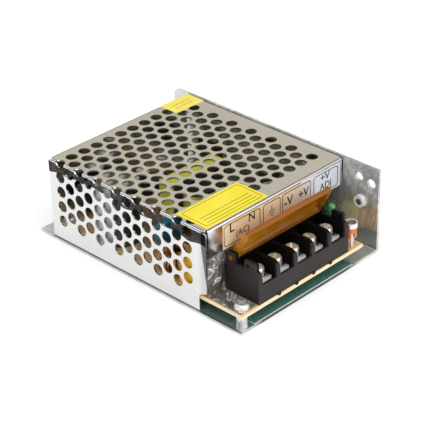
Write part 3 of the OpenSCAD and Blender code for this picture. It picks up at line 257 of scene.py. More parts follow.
def rolledChassis():  # bright rolled sheet: mirror-like floor, wall clouded and scuffed by handling
    finish = chassisFinish
    low, high = nodeBox("chassis")
    coverLow, coverHigh = nodeBox("mesh_cover")
    s = Shader("rolledChassis")
    x, y, z = s.axis(0), s.axis(1), s.axis(2)
    cloudFoot, cloudTop = (height * mm for height in finish["wallClouds"])
    ledgeWide, ledgeFoot = (length * mm for length in finish["ledge"])
    edgeLeft, edgeRight = (length * mm for length in finish["darkEdge"])
    clearLeft, clearRight = (length * mm for length in finish["clearFloor"])

    # where: 1 inside each area of the sheet, 0 outside it
    inWall = s.above(x, high.x - finish["wallWide"] * mm)
    onWall = s.times(s.above(z, low.z + (cloudFoot + cloudTop) / 2, (cloudTop - cloudFoot) / 2), inWall)
    inner = s.times(inWall, s.below(x, high.x - finish["sheet"] * mm))
    inBay = s.minus(s.above(y, low.y + 0.2 * mm), s.above(y, coverLow.y + 2 * mm, 2 * mm))
    behind = s.above(y, coverHigh.y)
    rearEnd = s.times(behind, inWall, finish["rearHaze"])
    onTab = s.times(behind, s.below(z, low.z + finish["tab"] * mm))
    onFloor = s.below(z, low.z + finish["floorTop"] * mm)
    onLedge = s.times(s.below(x, low.x + ledgeWide), s.above(z, low.z + ledgeFoot), s.inverse(behind))
    # the floor's front edge between these limits, painted dark as shade
    cutEdge = s.times(onFloor, s.math("LESS_THAN", y, low.y + 0.05 * mm),
                      s.minus(s.above(x, low.x + edgeLeft, 3 * mm), s.above(x, high.x - edgeRight, 4 * mm)))
    atSides = s.most(s.above(x, high.x - clearRight, 4 * mm),
                     s.times(finish["leftHaze"], s.below(x, low.x + clearLeft, 3 * mm)))

    # what: rolling lines, clouds, smudges, scuffs and the band of painted reflection
    lines = s.noise(90, 4, s.stretched((60, 1.2, 60)))
    cloud = s.noise(85, 5, None, 0.62, 0.6)
    smudge = s.levels(s.noise(230, 4, s.stretched((1, 1, 0.7)), 0.7, 2.2), 0.0, 1.0, 0.42, 0.62)
    blotch = s.times(s.levels(s.noise(190, 4, None, 0.65, 1.8), 0.0, 0.75, 0.44, 0.60), onWall)
    scuff = s.levels(s.noise(70, 3, s.stretched((1, 1, 0.55)), 0.6, 3.0), 0.0, 1.0, 0.60, 0.64)
    scuff = s.times(scuff, onWall, s.levels(inner, 0.3, 0.8))
    wander = s.plus(z, s.levels(s.noise(110, 2), -3 * mm, 3 * mm, 0.3, 0.7))
    # the bay's inner wall tinted between these heights: painted reflection of the amber cover and board
    paintedReflection = s.times(s.above(wander, low.z + finish["reflectionFrom"] * mm, 2 * mm),
                   s.below(wander, low.z + finish["reflectionTo"] * mm, 4 * mm), inner, inBay)
    reflectionTint = s.ramp(s.noise(120, 3, s.stretched((1, 1, 0.5)), 0.6, 1.0), finish["reflectionTints"])

    rings, bores = [], []
    for along, up in finish["collars"]:  # burnished collars of the tapped holes
        reach = s.distance((0, low.y + along * mm, low.z + up * mm), (0, 1, 1))
        bores.append(s.math("LESS_THAN", reach, finish["boreRadius"] * mm))
        rings.append(s.times(s.math("LESS_THAN", reach, finish["collarRadius"] * mm),
                             s.math("GREATER_THAN", reach, finish["boreRadius"] * mm)))
    rings = s.times(s.most(*rings), inner)
    bores = s.times(s.most(*bores), inWall)

    tint = s.mix(s.times(smudge, 0.45), s.ramp(cloud, finish["tints"]), finish["smudge"])
    tint = s.mix(blotch, tint, finish["blotch"])
    tint = s.mix(s.times(paintedReflection, 0.85), tint, reflectionTint)
    tint = s.mix(scuff, tint, finish["scuff"])
    tint = s.mix(s.times(onLedge, 0.8), tint, finish["paintedLedgeShade"])  # painted contact shade on the ledge under the cover
    tint = s.mix(rings, tint, finish["collar"])
    tint = s.mix(rearEnd, tint, finish["rearEnd"])
    # bores of the tapped holes and the floor's front edge painted dark as shade
    s.wire(s.mix(s.times(s.most(bores, cutEdge), 0.9), tint, finish["dark"]), "Base Color")

    haze = s.most(s.times(onWall, s.levels(cloud, 0.50, 0.90, 0.3, 0.7)), s.times(paintedReflection, finish["reflectionDull"]),
                  scuff, s.times(onTab, finish["tabHaze"]), rings, rearEnd,
                  s.times(onFloor, atSides, finish["floorHaze"]))
    s.wire(s.inverse(s.times(haze, finish["dulling"])), "Metallic")
    s.wire(s.plus(s.levels(lines, *finish["rough"]), s.times(haze, finish["hazeRough"])), "Roughness")
    s.bump(s.plus(s.times(lines, 0.01), s.times(smudge, 0.03)), 1.0, 1 * mm)
    return s.mat


coverFinish = {
    "plate": (0.80, 0.80, 0.80), "cloud": (0.87, 0.87, 0.87), "smear": (0.66, 0.65, 0.63),
    "shadedHoleWalls": (0.16, 0.15, 0.12), "rough": (0.12, 0.20),
    "paintedShadeMargin": (0.48, 0.48, 0.48), "paintedReflectionWedge": (0.06, 0.06, 0.06),  # painted dark reflection in the side's front corner, painted shade along its front edge
    "wedgeWide": 2.3, "wedgeFoot": 13.0, "wedgeTop": 29.0, "shadeMarginWide": 3.0,
    "drop": 6.6, "wave": 3.4, "tilt": 0.52, "buckle": 0.05, "bend": 1.0,  # inward roll below the fold
    "grain": 0.004, "sheet": 0.9, "fold": 1.8,
}


def platedCover():  # plated sheet, its long side rolled inwards a little below the fold
    finish = coverFinish
    low, high = nodeBox("mesh_cover")
    s = Shader("platedCover").set(metal=1.0)
    z = s.axis(2)
    grain = s.noise(420, 3, s.stretched((1, 0.15, 1)))
    cloud = s.noise(45, 3)
    smear = s.levels(s.noise(120, 4, s.stretched((1, 0.5, 1)), 0.6), 0.0, 0.25, 0.45, 0.8)
    onSide = s.math("LESS_THAN", s.facing(0), -0.7)
    inFront = s.minus(s.axis(1), low.y)
    paintedShadeMargin = s.times(s.below(inFront, finish["shadeMarginWide"] * mm, 1.2 * mm), onSide)
    wide = s.levels(z, 0.0, finish["wedgeWide"] * mm, finish["wedgeFoot"] * mm, finish["wedgeTop"] * mm)
    paintedReflectionWedge = s.times(s.above(s.minus(wide, inFront), 0.0, 0.15 * mm), onSide)
    shadedHoleWalls = s.times(s.above(z, high.z - finish["sheet"] * mm), s.math("LESS_THAN", s.facing(2), 0.97),
                      s.above(s.axis(0), low.x + finish["fold"] * mm), s.above(inFront, 0.6 * mm))
    tint = s.mix(s.levels(cloud, 0.0, 0.5), finish["plate"], finish["cloud"])
    tint = s.mix(smear, tint, finish["smear"])
    # painted shade near the front edge and painted dark reflection in the front corner
    tint = s.mix(s.times(paintedShadeMargin, 0.5), tint, finish["paintedShadeMargin"])
    tint = s.mix(s.times(paintedReflectionWedge, 0.85), tint, finish["paintedReflectionWedge"])
    s.wire(s.mix(s.times(shadedHoleWalls, 0.9), tint, finish["shadedHoleWalls"]), "Base Color")  # hole walls painted dark as shade, and made rougher
    s.wire(s.plus(s.levels(grain, *finish["rough"]), s.levels(cloud, -0.03, 0.05), s.times(shadedHoleWalls, 0.3)),
           "Roughness")
    wave = s.levels(s.noise(60, 1.5, s.stretched((0.2, 1, 0.25))), 0.0, finish["wave"] * mm, 0.3, 0.7)
    edge = s.plus(high.z - finish["drop"] * mm, wave)
    height = s.math("MINIMUM", z, high.z - finish["bend"] * mm)
    roll = s.times(s.most(s.minus(height, edge), 0.0), onSide, -finish["tilt"])
    wander = s.times(s.noise(70, 2), finish["buckle"] * mm)
    s.bump(s.plus(wander, s.times(grain, finish["grain"] * mm), roll), 1.0, 1.0)
    return s.mat


platings = {  # colour, worn colour, roughness, how metallic
    "nickelPlate": ((0.99, 0.92, 0.78), (0.90, 0.79, 0.58), 0.16, 0.75),
    "brightNickel": ((0.98, 0.97, 0.95), (0.90, 0.89, 0.86), 0.24, 0.55),
    "satinNickel": ((0.95, 0.94, 0.92), (0.80, 0.79, 0.77), 0.26, 0.85),
    "brightStandoff": ((0.70, 0.72, 0.71), (0.64, 0.65, 0.65), 0.12, 1.0),
    "shadedThreadMetal": ((0.16, 0.15, 0.14), (0.10, 0.10, 0.10), 0.35, 1.0),
    "tinnedMetal": ((0.78, 0.76, 0.72), (0.70, 0.66, 0.58), 0.22, 1.0),
    "zincPlate": ((0.60, 0.60, 0.60), (0.55, 0.55, 0.52), 0.28, 1.0),
}


def platedSteel(name):  # small plated hardware
    colour, worn, rough, metal = platings[name]
    s = Shader(name).set(metal=metal)
    s.wire(s.mix(s.levels(s.noise(900, 3), 0.0, 0.35), colour, worn), "Base Color")
    s.wire(s.levels(s.noise(2500, 2), rough, rough + 0.12), "Roughness")
    s.bump(s.noise(1800, 3), 0.15, 0.05 * mm)
    return s.mat


# the cut edges painted bright as highlight, the top painted dark as shade
clampFinish = {"edge": (1.0, 0.98, 0.95), "worn": (0.90, 0.88, 0.84), "paintedShadeTop": (0.045, 0.04, 0.03),
               "pitch": 1.15, "metal": (0.05, 0.95), "rough": (0.22, 0.36)}


def ribbedClamp(name):  # ribs pressed across the plate; its top painted dark as shade, its cut edges painted bright as highlight
    front = nodeBox(name)[0].y
    s = Shader(name + "Finish")
    across = s.times(s.minus(s.axis(1), front), 2 * math.pi / (clampFinish["pitch"] * mm))
    ribs = s.levels(s.math("SINE", across), 0.0, 1.0, 0.25, 0.75)
    onTop = s.math("GREATER_THAN", s.facing(2), 0.5)
    paintedShadeTop = s.times(onTop, s.inverse(s.times(ribs, 0.4)))
    bright = s.mix(s.levels(s.noise(900, 3), 0.0, 0.4), clampFinish["edge"], clampFinish["worn"])
    s.wire(s.mix(paintedShadeTop, bright, clampFinish["paintedShadeTop"]), "Base Color")
    s.wire(s.levels(paintedShadeTop, *clampFinish["metal"]), "Metallic")
    s.wire(s.levels(s.noise(2500, 2), *clampFinish["rough"]), "Roughness")
    s.bump(s.times(ribs, onTop), 0.6, 0.2 * mm)
    return s.mat


rotorFinish = {"rim": (0.92, 0.90, 0.87), "dish": [(0.3, (0.10, 0.12, 0.10)), (0.7, (0.24, 0.25, 0.23))],
               "dishReach": 0.80, "dishFloor": 0.3, "rough": (0.22, 0.36)}


def dishedRotor():  # bright rim round a dish painted dark as shade
    low, high = nodeBox("trimmer_rotor")
    s = Shader("dishedRotor").set(metal=0.6)
    reach = s.math("DIVIDE", s.distance((low + high) / 2, (1, 1, 0)), (high.x - low.x) / 2)
    dish = s.times(s.math("LESS_THAN", reach, rotorFinish["dishReach"]),
                   s.above(s.axis(2), low.z + rotorFinish["dishFloor"] * mm))
    paintedDishShade = s.ramp(s.noise(500, 2), rotorFinish["dish"])
    s.wire(s.mix(dish, rotorFinish["rim"], paintedDishShade), "Base Color")
    s.wire(s.levels(s.noise(1500, 2), *rotorFinish["rough"]), "Roughness")
    s.bump(s.noise(1800, 3), 0.15, 0.05 * mm)
    return s.mat


wireFinish = {"enamel": [(0.3, (0.52, 0.20, 0.07)), (0.7, (0.80, 0.36, 0.14))], "rough": 0.22, "coat": 0.6}


def enamelledWire():
    s = Shader("enamelledWire").set(metal=1.0, rough=wireFinish["rough"], coat=wireFinish["coat"])
    s.wire(s.ramp(s.noise(400, 2), wireFinish["enamel"]), "Base Color")
    s.bump(s.noise(1500, 2), 0.1, 0.05 * mm)
    return s.mat


# plastics and paper
mouldings = {  # colour, how far it varies, roughness, depth of the texture, gloss
    "trimmerOrange": ((0.80, 0.22, 0.04), 0.25, 0.35, 0.25, 0.5),
    "bobbinBlack": ((0.025, 0.024, 0.022), 0.25, 0.5, 0.25, 0.5),
    "boxYellow": ((0.80, 0.50, 0.015), 0.25, 0.4, 0.25, 0.5),
    "powderYellow": ((0.60, 0.52, 0.08), 0.25, 0.5, 0.25, 0.5),
    "siliconePad": ((0.62, 0.64, 0.66), 0.1, 0.6, 0.25, 0.5),
    "footBlack": ((0.010, 0.009, 0.009), 0.2, 0.5, 0.2, 0.2),
}


def mouldedPlastic(name):
    colour, varies, rough, texture, gloss = mouldings[name]
    s = Shader(name).set(specular=gloss)
    darker = tuple(c * (1 - varies) for c in colour)
    lighter = tuple(min(1, c * (1 + varies)) for c in colour)
    s.wire(s.ramp(s.noise(150, 3), [(0.3, darker), (0.7, lighter)]), "Base Color")
    s.wire(s.levels(s.noise(700, 2), rough - 0.06, rough + 0.08), "Roughness")
    s.bump(s.noise(3500, 3), texture, 0.06 * mm)
    return s.mat


blockFinish = {"outside": [(0.3, (0.020, 0.015, 0.014)), (0.7, (0.026, 0.020, 0.019))],
               "cells": (0.002, 0.002, 0.002), "front": 0.9, "ends": 1.0, "gloss": 0.3, "cellGloss": 0.06}


def blockMoulding():  # matt outside; down in the cells painted near black and made less glossy as shade
    low, high = nodeBox("terminal_block")
    s = Shader("blockMoulding").set(specular=blockFinish["gloss"])
    x, ends = s.axis(0), blockFinish["ends"] * mm
    inside = s.times(s.above(s.axis(1), low.y + blockFinish["front"] * mm, 0.3 * mm),
                     s.above(x, low.x + ends, 0.2 * mm), s.below(x, high.x - ends, 0.2 * mm))
    outside = s.ramp(s.noise(150, 3), blockFinish["outside"])
    # cells painted near black as shade
    s.wire(s.mix(s.times(inside, 0.85), outside, blockFinish["cells"]), "Base Color")
    s.wire(s.plus(s.levels(s.noise(700, 2), 0.42, 0.55), s.times(inside, 0.25)), "Roughness")
    s.wire(s.levels(inside, blockFinish["gloss"], blockFinish["cellGloss"]), "Specular IOR Level")
    s.bump(s.noise(3500, 3), 0.2, 0.06 * mm)
    return s.mat


amberFinish = {"streaks": [(0.3, (0.12, 0.036, 0.001)), (0.5, (0.38, 0.135, 0.003)),
                           (0.72, (0.78, 0.34, 0.02))],
               "rim": (0.31, 0.092, 0.004), "rimLight": (0.52, 0.18, 0.022), "rimFrom": 12.3}


def amberSheet():  # translucent amber moulding with flow streaks along its length
    s = Shader("amberSheet").set(rough=0.2, clear=0.25, ior=1.49, coat=0.12, coatRough=0.12, specular=0.35)
    streaks = s.noise(140, 4, s.stretched((0.12, 1, 1)), 0.6)
    rim = s.above(s.distance(coverHinge, (0, 1, 1)), amberFinish["rimFrom"] * mm, 0.2 * mm)  # folded rim
    worn = s.mix(s.levels(streaks, 0.0, 0.5), amberFinish["rim"], amberFinish["rimLight"])
    s.wire(s.mix(rim, s.ramp(streaks, amberFinish["streaks"]), worn), "Base Color")
    s.wire(s.levels(s.noise(500, 2), 0.14, 0.30), "Roughness")
    s.bump(streaks, 0.25, 0.3 * mm)
    return s.mat


lensFinish = {"tints": [(0.3, (0.06, 0.36, 0.08)), (0.7, (0.15, 0.56, 0.17))], "rough": 0.12, "clear": 0.35}


def lampLens():
    s = Shader("lampLens").set(rough=lensFinish["rough"], clear=lensFinish["clear"], ior=1.5, coat=0.5)
    s.wire(s.ramp(s.noise(300, 2), lensFinish["tints"]), "Base Color")
    return s.mat


floorFinish = {"sheet": (0.30, 0.62, 0.50), "crease": (0.21, 0.43, 0.35), "cut": (0.85, 0.92, 0.90),
               "clear": (0.7, 0.56)}


def floorSheet():  # green-tinted insulating film, its cut edges painted pale as a glint
    s = Shader("floorSheet").set(ior=1.5, rough=0.05, coat=0.5, coatRough=0.03)
    creases = s.noise(520, 3, None, 0.6, 1.5)
    tint = s.mix(s.levels(creases, 0.0, 0.5, 0.35, 0.7), floorFinish["sheet"], floorFinish["crease"])
    cut = s.cutFaces()
    clear = s.levels(creases, *floorFinish["clear"], 0.45, 0.7)
    # cut edges painted pale as a glint
    s.wire(s.mix(cut, tint, floorFinish["cut"]), "Base Color")
    s.wire(s.times(clear, s.inverse(cut)), "Transmission Weight")
    s.bump(creases, 0.1, 0.6 * mm)
    return s.mat


stripFinish = {"along": [(0.0, (0.93, 0.70, 0.44)), (0.5, (0.97, 0.76, 0.50)), (0.66, (0.90, 0.80, 0.70)),
                         (0.76, (0.72, 0.76, 0.84)), (1.0, (0.68, 0.72, 0.80))],
               "cloud": (0.66, 0.56, 0.46)}


def labelPaper():  # satin strip, warmer towards the mains end
    low, high = nodeBox("terminal_label")
    s = Shader("labelPaper").set(specular=0.5, coat=0.25, coatRough=0.25)
    base = s.ramp(s.levels(s.axis(0), 0.0, 1.0, low.x, high.x), stripFinish["along"])
    s.wire(s.mix(s.levels(s.noise(300, 2), 0.0, 0.10), base, stripFinish["cloud"]), "Base Color")
    s.wire(s.levels(s.noise(900, 2), 0.32, 0.42), "Roughness")
    s.bump(s.noise(1500, 2), 0.05, 0.05 * mm)
    return s.mat


yellowTints = {"topPaper": [(0.3, (0.92, 0.76, 0.02)), (0.7, (1.0, 0.84, 0.06))],
               "rearPaper": [(0.3, (0.96, 0.80, 0.10)), (0.7, (1.0, 0.88, 0.18))]}


def yellowPaper(name):
    s = Shader(name).set(specular=0.4, coat=0.2, coatRough=0.2)
    s.wire(s.ramp(s.noise(80, 2), yellowTints[name]), "Base Color")
    s.wire(s.levels(s.noise(900, 2), 0.35, 0.45), "Roughness")
    s.bump(s.noise(1800, 2), 0.05, 0.04 * mm)
    return s.mat


# circuit board and the parts on it
boardFinish = {"tan": [(0.3, (0.66, 0.42, 0.20)), (0.7, (0.86, 0.62, 0.36))], "paintedShadeUnderCover": (0.20, 0.13, 0.04),
               "edge": [(0.3, (0.90, 0.66, 0.38)), (0.7, (1.0, 0.86, 0.62))],
               "mask": (0.05, 0.50, 0.34), "tracks": (0.02, 0.30, 0.19), "trackScale": 130.0,
               "tanEdge": (10.0, 3.0)}  # no painted shade within these distances of the left edge and of the cover's front


def boardLaminate():  # tan paper laminate, pale cut edges, green mask with tracks below
    low = nodeBox("pcb")[0]
    s = Shader("boardLaminate").set(specular=0.4)
    fibres = s.noise(260, 4, s.stretched((1, 3, 1)))
    left, front = (length * mm for length in boardFinish["tanEdge"])
    covered = s.times(s.above(s.axis(1), nodeBox("mesh_cover")[0].y + front, 3 * mm),
                      s.above(s.axis(0), low.x + left, 4 * mm))
    tan = s.ramp(fibres, boardFinish["tan"])
    tan = s.mix(s.times(covered, 0.75), tan, boardFinish["paintedShadeUnderCover"])  # painted shade under the cover
    edge = s.ramp(s.noise(900, 2, s.stretched((0.1, 0.1, 1))), boardFinish["edge"])
    cells = s.node("ShaderNodeTexVoronoi", {"Vector": s.coords, "Scale": boardFinish["trackScale"]},
                   feature="DISTANCE_TO_EDGE")
    tracks = s.above(cells.outputs["Distance"], 0.055, 0.012)
    green = s.mix(tracks, boardFinish["mask"], boardFinish["tracks"])
    plain = s.mix(s.above(s.axis(2), low.z + 0.1 * mm), green, tan)
    s.wire(s.mix(s.cutFaces(), plain, edge), "Base Color")
    s.wire(s.levels(fibres, 0.35, 0.5), "Roughness")
    s.bump(fibres, 0.08, 0.1 * mm)
    return s.mat


ferriteFinish = {"tints": [(0.3, (0.018, 0.018, 0.02)), (0.75, (0.06, 0.06, 0.065))], "rough": (0.4, 0.6)}


def ferriteBlack():
    s = Shader("ferriteBlack").set(specular=0.4)
    s.wire(s.ramp(s.noise(500, 4), ferriteFinish["tints"]), "Base Color")
    s.wire(s.levels(s.noise(900, 3), *ferriteFinish["rough"]), "Roughness")
    s.bump(s.noise(1500, 4), 0.3, 0.1 * mm)
    return s.mat


tapeFinish = {"tape": [(0.3, (0.84, 0.84, 0.05)), (0.7, (0.98, 0.96, 0.16))], "step": (0.62, 0.60, 0.04)}


def windingTape():  # wrapped polyester tape, its turns showing as faint steps
    s = Shader("windingTape").set(coat=0.5, coatRough=0.15)
    steps = s.node("ShaderNodeTexWave", {"Vector": s.coords, "Scale": 160.0, "Distortion": 1.2},
                   bands_direction="Z").outputs["Fac"]
    tint = s.ramp(s.noise(120, 3), tapeFinish["tape"])
    s.wire(s.mix(s.levels(steps, 0.0, 0.25), tint, tapeFinish["step"]), "Base Color")
    s.wire(s.levels(s.noise(700, 2), 0.25, 0.4), "Roughness")
    s.bump(steps, 0.15, 0.2 * mm)
    return s.mat


cans = {  # sleeve colour, stripe colour and where the stripe faces
    "bulk_capacitor": {"sleeve": (0.02, 0.02, 0.022), "stripe": (0.42, 0.43, 0.46), "faces": 180},
    "output_capacitors": {"sleeve": (0.03, 0.06, 0.03), "stripe": (0.45, 0.44, 0.36), "faces": 60},
    "small_capacitors": {"sleeve": (0.02, 0.03, 0.06), "stripe": (0.40, 0.42, 0.46), "faces": 90},
}
canTop = {"colour": (0.80, 0.79, 0.77), "reach": 0.91, "deep": 1.0}
stripeWide = 0.55  # of the can's radius


def sleevedCan(name):  # printed sleeve with a bright aluminium top
    can = cans[name]
    boxes = solidBoxes(name)
    s = Shader(name + "Finish").set(coat=0.4, coatRough=0.15)
    turn = math.radians(can["faces"])
    reaches, stripes = [], []
    for low, high in boxes:
        centre = (low + high) / 2
        radius = (high.x - low.x) / 2
        spot = centre + Vector((math.cos(turn), math.sin(turn), 0)) * radius
        reaches.append(s.math("DIVIDE", s.distance(centre, (1, 1, 0)), radius))
        stripes.append(s.math("LESS_THAN", s.distance(spot, (1, 1, 0)), radius * stripeWide))
    onTop = s.times(s.math("LESS_THAN", s.fold("MINIMUM", reaches), canTop["reach"]),
                    s.above(s.axis(2), boxes[0][1].z - canTop["deep"] * mm))
    cloud = s.noise(300, 2)
    sleeve = s.ramp(cloud, [(0.3, tuple(c * 0.8 for c in can["sleeve"])), (0.7, can["sleeve"])])
    s.wire(s.mix(onTop, s.mix(s.most(*stripes), sleeve, can["stripe"]), canTop["colour"]), "Base Color")
    s.wire(onTop, "Metallic")
    s.wire(s.levels(cloud, 0.24, 0.36), "Roughness")
    s.bump(s.noise(400, 2), 0.1, 0.1 * mm)
    return s.mat


chipBlack = (0.03, 0.03, 0.032)
standingParts = {  # body colour, lift of the body above the board in mm, roughness
    "thermistor": ((0.05, 0.075, 0.06), 2.6, 0.35),
    "surge_arrester": ((0.01, 0.22, 0.34), 2.6, 0.25),
    "disc_capacitors": ((0.01, 0.20, 0.36), 2.6, 0.25),
    "bridge_rectifier": (chipBlack, 2.5, 0.35),
}
lyingParts = {  # body colour, axis of the leads, their length at each end in mm, roughness
    "control_chip": (chipBlack, 1, 0.6, 0.35),
    "optocoupler": ((0.05, 0.05, 0.052), 0, 0.6, 0.35),
    "power_resistors": ((0.55, 0.40, 0.22), 0, 2.2, 0.35),
    "fuse": ((0.62, 0.66, 0.62), 1, 5.0, 0.12),
}
wallParts = {"names": ("switching_transistor", "output_rectifier"), "colour": (0.028, 0.028, 0.03),
             "tab": 6.0, "body": 9.0}
leadMetal = (0.74, 0.72, 0.68)


def leadedPart(name, body, low, high, axisIndex=2, rough=0.35):  # coated body, tinned metal beyond it
    s = Shader(name + "Finish").set(coat=0.25, coatRough=0.2)
    value = s.axis(axisIndex)
    inside = s.times(s.above(value, low), s.below(value, high))
    cloud = s.noise(350, 3)
    tint = s.ramp(cloud, [(0.3, tuple(c * 0.75 for c in body)), (0.7, body)])
    s.wire(s.mix(inside, leadMetal, tint), "Base Color")
    s.wire(s.inverse(inside), "Metallic")
    s.wire(s.levels(cloud, rough - 0.05, rough + 0.08), "Roughness")
    s.bump(s.noise(1600, 3), 0.2, 0.08 * mm)
    return s.mat


def dress(name, material):
    slots = nodes[name].data.materials
    slots.clear()
    slots.append(material)


boardTop = nodeBox("pcb")[1].z
brightNickel = platedSteel("brightNickel")
tinned = platedSteel("tinnedMetal")
zinc = platedSteel("zincPlate")
copper = enamelledWire()


def dressCase():
    dress("chassis", rolledChassis())
    dress("mesh_cover", platedCover())
    dress("cover_screws", zinc)
    dress("device_screws", zinc)
    dress("standoffs", platedSteel("brightStandoff"))
    dress("pcb", boardLaminate())
    dress("pcb_screws", platedSteel("satinNickel"))
    dress("floor_film", floorSheet())
    dress("terminal_label", labelPaper())
    dress("top_label", yellowPaper("topPaper"))
    dress("rear_label", yellowPaper("rearPaper"))


def dressTerminals():
    dress("terminal_block", blockMoulding())
    dress("terminal_contacts", brightNickel)
    dress("terminal_cover", amberSheet())
    nickel = platedSteel("nickelPlate")
    for i in range(1, 6):
        dress("wire_clamp_%d" % i, ribbedClamp("wire_clamp_%d" % i))
        dress("spring_washer_%d" % i, brightNickel)
        dress("terminal_screw_%d" % i, nickel)
    dress("trimmer_base", mouldedPlastic("trimmerOrange"))
    dress("trimmer_rotor", dishedRotor())
    dress("trimmer_legs", tinned)
    dress("status_lamp", lampLens())
    dress("lamp_leads", tinned)


def dressInside():
    dress("transformer_core", ferriteBlack())
    dress("transformer_bobbin", mouldedPlastic("bobbinBlack"))
    tape = windingTape()
    dress("transformer_winding", tape)
    dress("transformer_tape", tape)
    dress("mains_capacitor", mouldedPlastic("boxYellow"))
    dress("choke_core", ferriteBlack())
    dress("choke_winding", copper)
    dress("inductor_core", mouldedPlastic("powderYellow"))
    dress("inductor_winding", copper)
    dress("insulating_pads", mouldedPlastic("siliconePad"))
    dress("fuse_clips", tinned)
    for name in cans:
        dress(name, sleevedCan(name))
    for name, (colour, lift, rough) in standingParts.items():
        dress(name, leadedPart(name, colour, boardTop + lift * mm, 1, rough=rough))
    for name, (colour, axisIndex, lead, rough) in lyingParts.items():
        low, high = (corner[axisIndex] for corner in nodeBox(name))
        dress(name, leadedPart(name, colour, low + lead * mm, high - lead * mm, axisIndex, rough))
    for name in wallParts["names"]:
        bodyTop = nodeBox(name)[1].z - wallParts["tab"] * mm
        dress(name, leadedPart(name, wallParts["colour"], bodyTop - wallParts["body"] * mm, bodyTop))


dressCase()
dressTerminals()
dressInside()
print("nodes dressed")


# small rounded edges for highlights: width in mm, then the nodes
roundings = [
    (0.12, ["terminal_block", "terminal_cover", "pcb_screws", "terminal_contacts", "status_lamp",
            "trimmer_base", "trimmer_rotor", "transformer_core", "mains_capacitor", "bridge_rectifier",
            "switching_transistor", "output_rectifier", "control_chip", "optocoupler"]),
    (0.12, ["terminal_screw_%d" % i for i in range(1, 6)]),
    (0.10, ["wire_clamp_%d" % i for i in range(1, 6)]),
    (0.08, ["spring_washer_%d" % i for i in range(1, 6)]),
]
sheetRounding = {"width": 0.14, "segments": 2, "angle": 50}


def soften(piece, width, segments=2, angle=38):
    bevel = piece.modifiers.new("edgeRounding", "BEVEL")
    bevel.width = width * mm
    bevel.segments = segments
    bevel.limit_method = "ANGLE"
    bevel.angle_limit = math.radians(angle)
    bevel.use_clamp_overlap = True


for sheetName in ("mesh_cover", "chassis"):
    soften(nodes[sheetName], **sheetRounding)
for width, names in roundings:
    for softName in names:
        soften(nodes[softName], width)
print("edges rounded")


# helpers for the pieces added here
def addPiece(name, bm, body, material, smooth=True):
    mesh = bpy.data.meshes.new(name)
    bmesh.ops.recalc_face_normals(bm, faces=bm.faces)
    bm.to_mesh(mesh)
    bm.free()
    piece = bpy.data.objects.new(name, mesh)
    bpy.context.scene.collection.objects.link(piece)
    for face in mesh.polygons:
        face.use_smooth = smooth
    mesh.materials.append(material)
    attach(piece, body)
    return piece


def bridge(bm, a, b):  # faces between two closed rings of points
    count = len(a)
    for k in range(count):
        bm.faces.new((a[k], a[(k + 1) % count], b[(k + 1) % count], b[k]))


def addBar(bm, corners):  # four lower corners and the four above them
    verts = [bm.verts.new(corner) for corner in corners]
    for face in ((0, 3, 2, 1), (4, 5, 6, 7), (0, 1, 5, 4), (1, 2, 6, 5), (2, 3, 7, 6), (3, 0, 4, 7)):
        bm.faces.new([verts[k] for k in face])


def tube(bm, points, radius, sides):  # round wire along a list of points
    rings = []
    normal = None
    for i, point in enumerate(points):
        tangent = (points[min(i + 1, len(points) - 1)] - points[max(i - 1, 0)]).normalized()
        if normal is None:
            normal = tangent.orthogonal().normalized()
        normal = (normal - tangent * normal.dot(tangent)).normalized()
        side = tangent.cross(normal)
        ring = []
        for k in range(sides):
            angle = 2 * math.pi * k / sides
            ring.append(bm.verts.new(point + (normal * math.cos(angle) + side * math.sin(angle)) * radius))
        rings.append(ring)
    for a, b in zip(rings, rings[1:]):
        bridge(bm, a, b)
    bm.faces.new(list(reversed(rings[0])))
    bm.faces.new(rings[-1])


# wire turns on the two ring cores
ringWindings = {
    "choke_winding": {"core": "choke_core", "turns": 11, "wire": 0.42, "bore": 0.53,
                      "arcs": [(-58, 58), (122, 238)]},
    "inductor_winding": {"core": "inductor_core", "turns": 22, "wire": 0.45, "bore": 0.53,
                         "arcs": [(-55, 235)]},
}


def windRing(name):
    facts = ringWindings[name]
    low, high = nodeBox(facts["core"])
    centre = (low + high) / 2
    outer = (high.x - low.x) / 2
    inner = outer * facts["bore"]
    half = (high.z - low.z) / 2
    wire = facts["wire"] * mm
    clear = wire * 1.05
    turns = facts["turns"]
    corners = [(outer + clear, -half), (outer + clear, half), (outer - wire, half + clear),
               (inner + wire, half + clear), (inner - clear, half), (inner - clear, -half),
               (inner + wire, -half - clear), (outer - wire, -half - clear)]
    bm = bmesh.new()
    for start, end in facts["arcs"]:
        path = []
        for turn in range(turns):
            for k, (r, z) in enumerate(corners):
                angle = math.radians(start + (end - start) * (turn + k / len(corners)) / turns)
                path.append(centre + Vector((math.cos(angle) * r, math.sin(angle) * r, z)))
        halved = []
        for a, b in zip(path, path[1:]):
            halved += [a, a.lerp(b, 0.5)]
        tube(bm, halved + [path[-1]], wire, 8)
    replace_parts(addPiece(name + "Wire", bm, "root", copper), name)


for windingName in ringWindings:
    windRing(windingName)
print("ring windings wound")


# small feet of the terminal block, hooked over the board's front edge
footFacts = {"half": 0.9, "drop": 0.55, "rise": 0.25, "reach": 0.52, "ledge": 0.31, "clear": 0.02,
             "steps": 8}


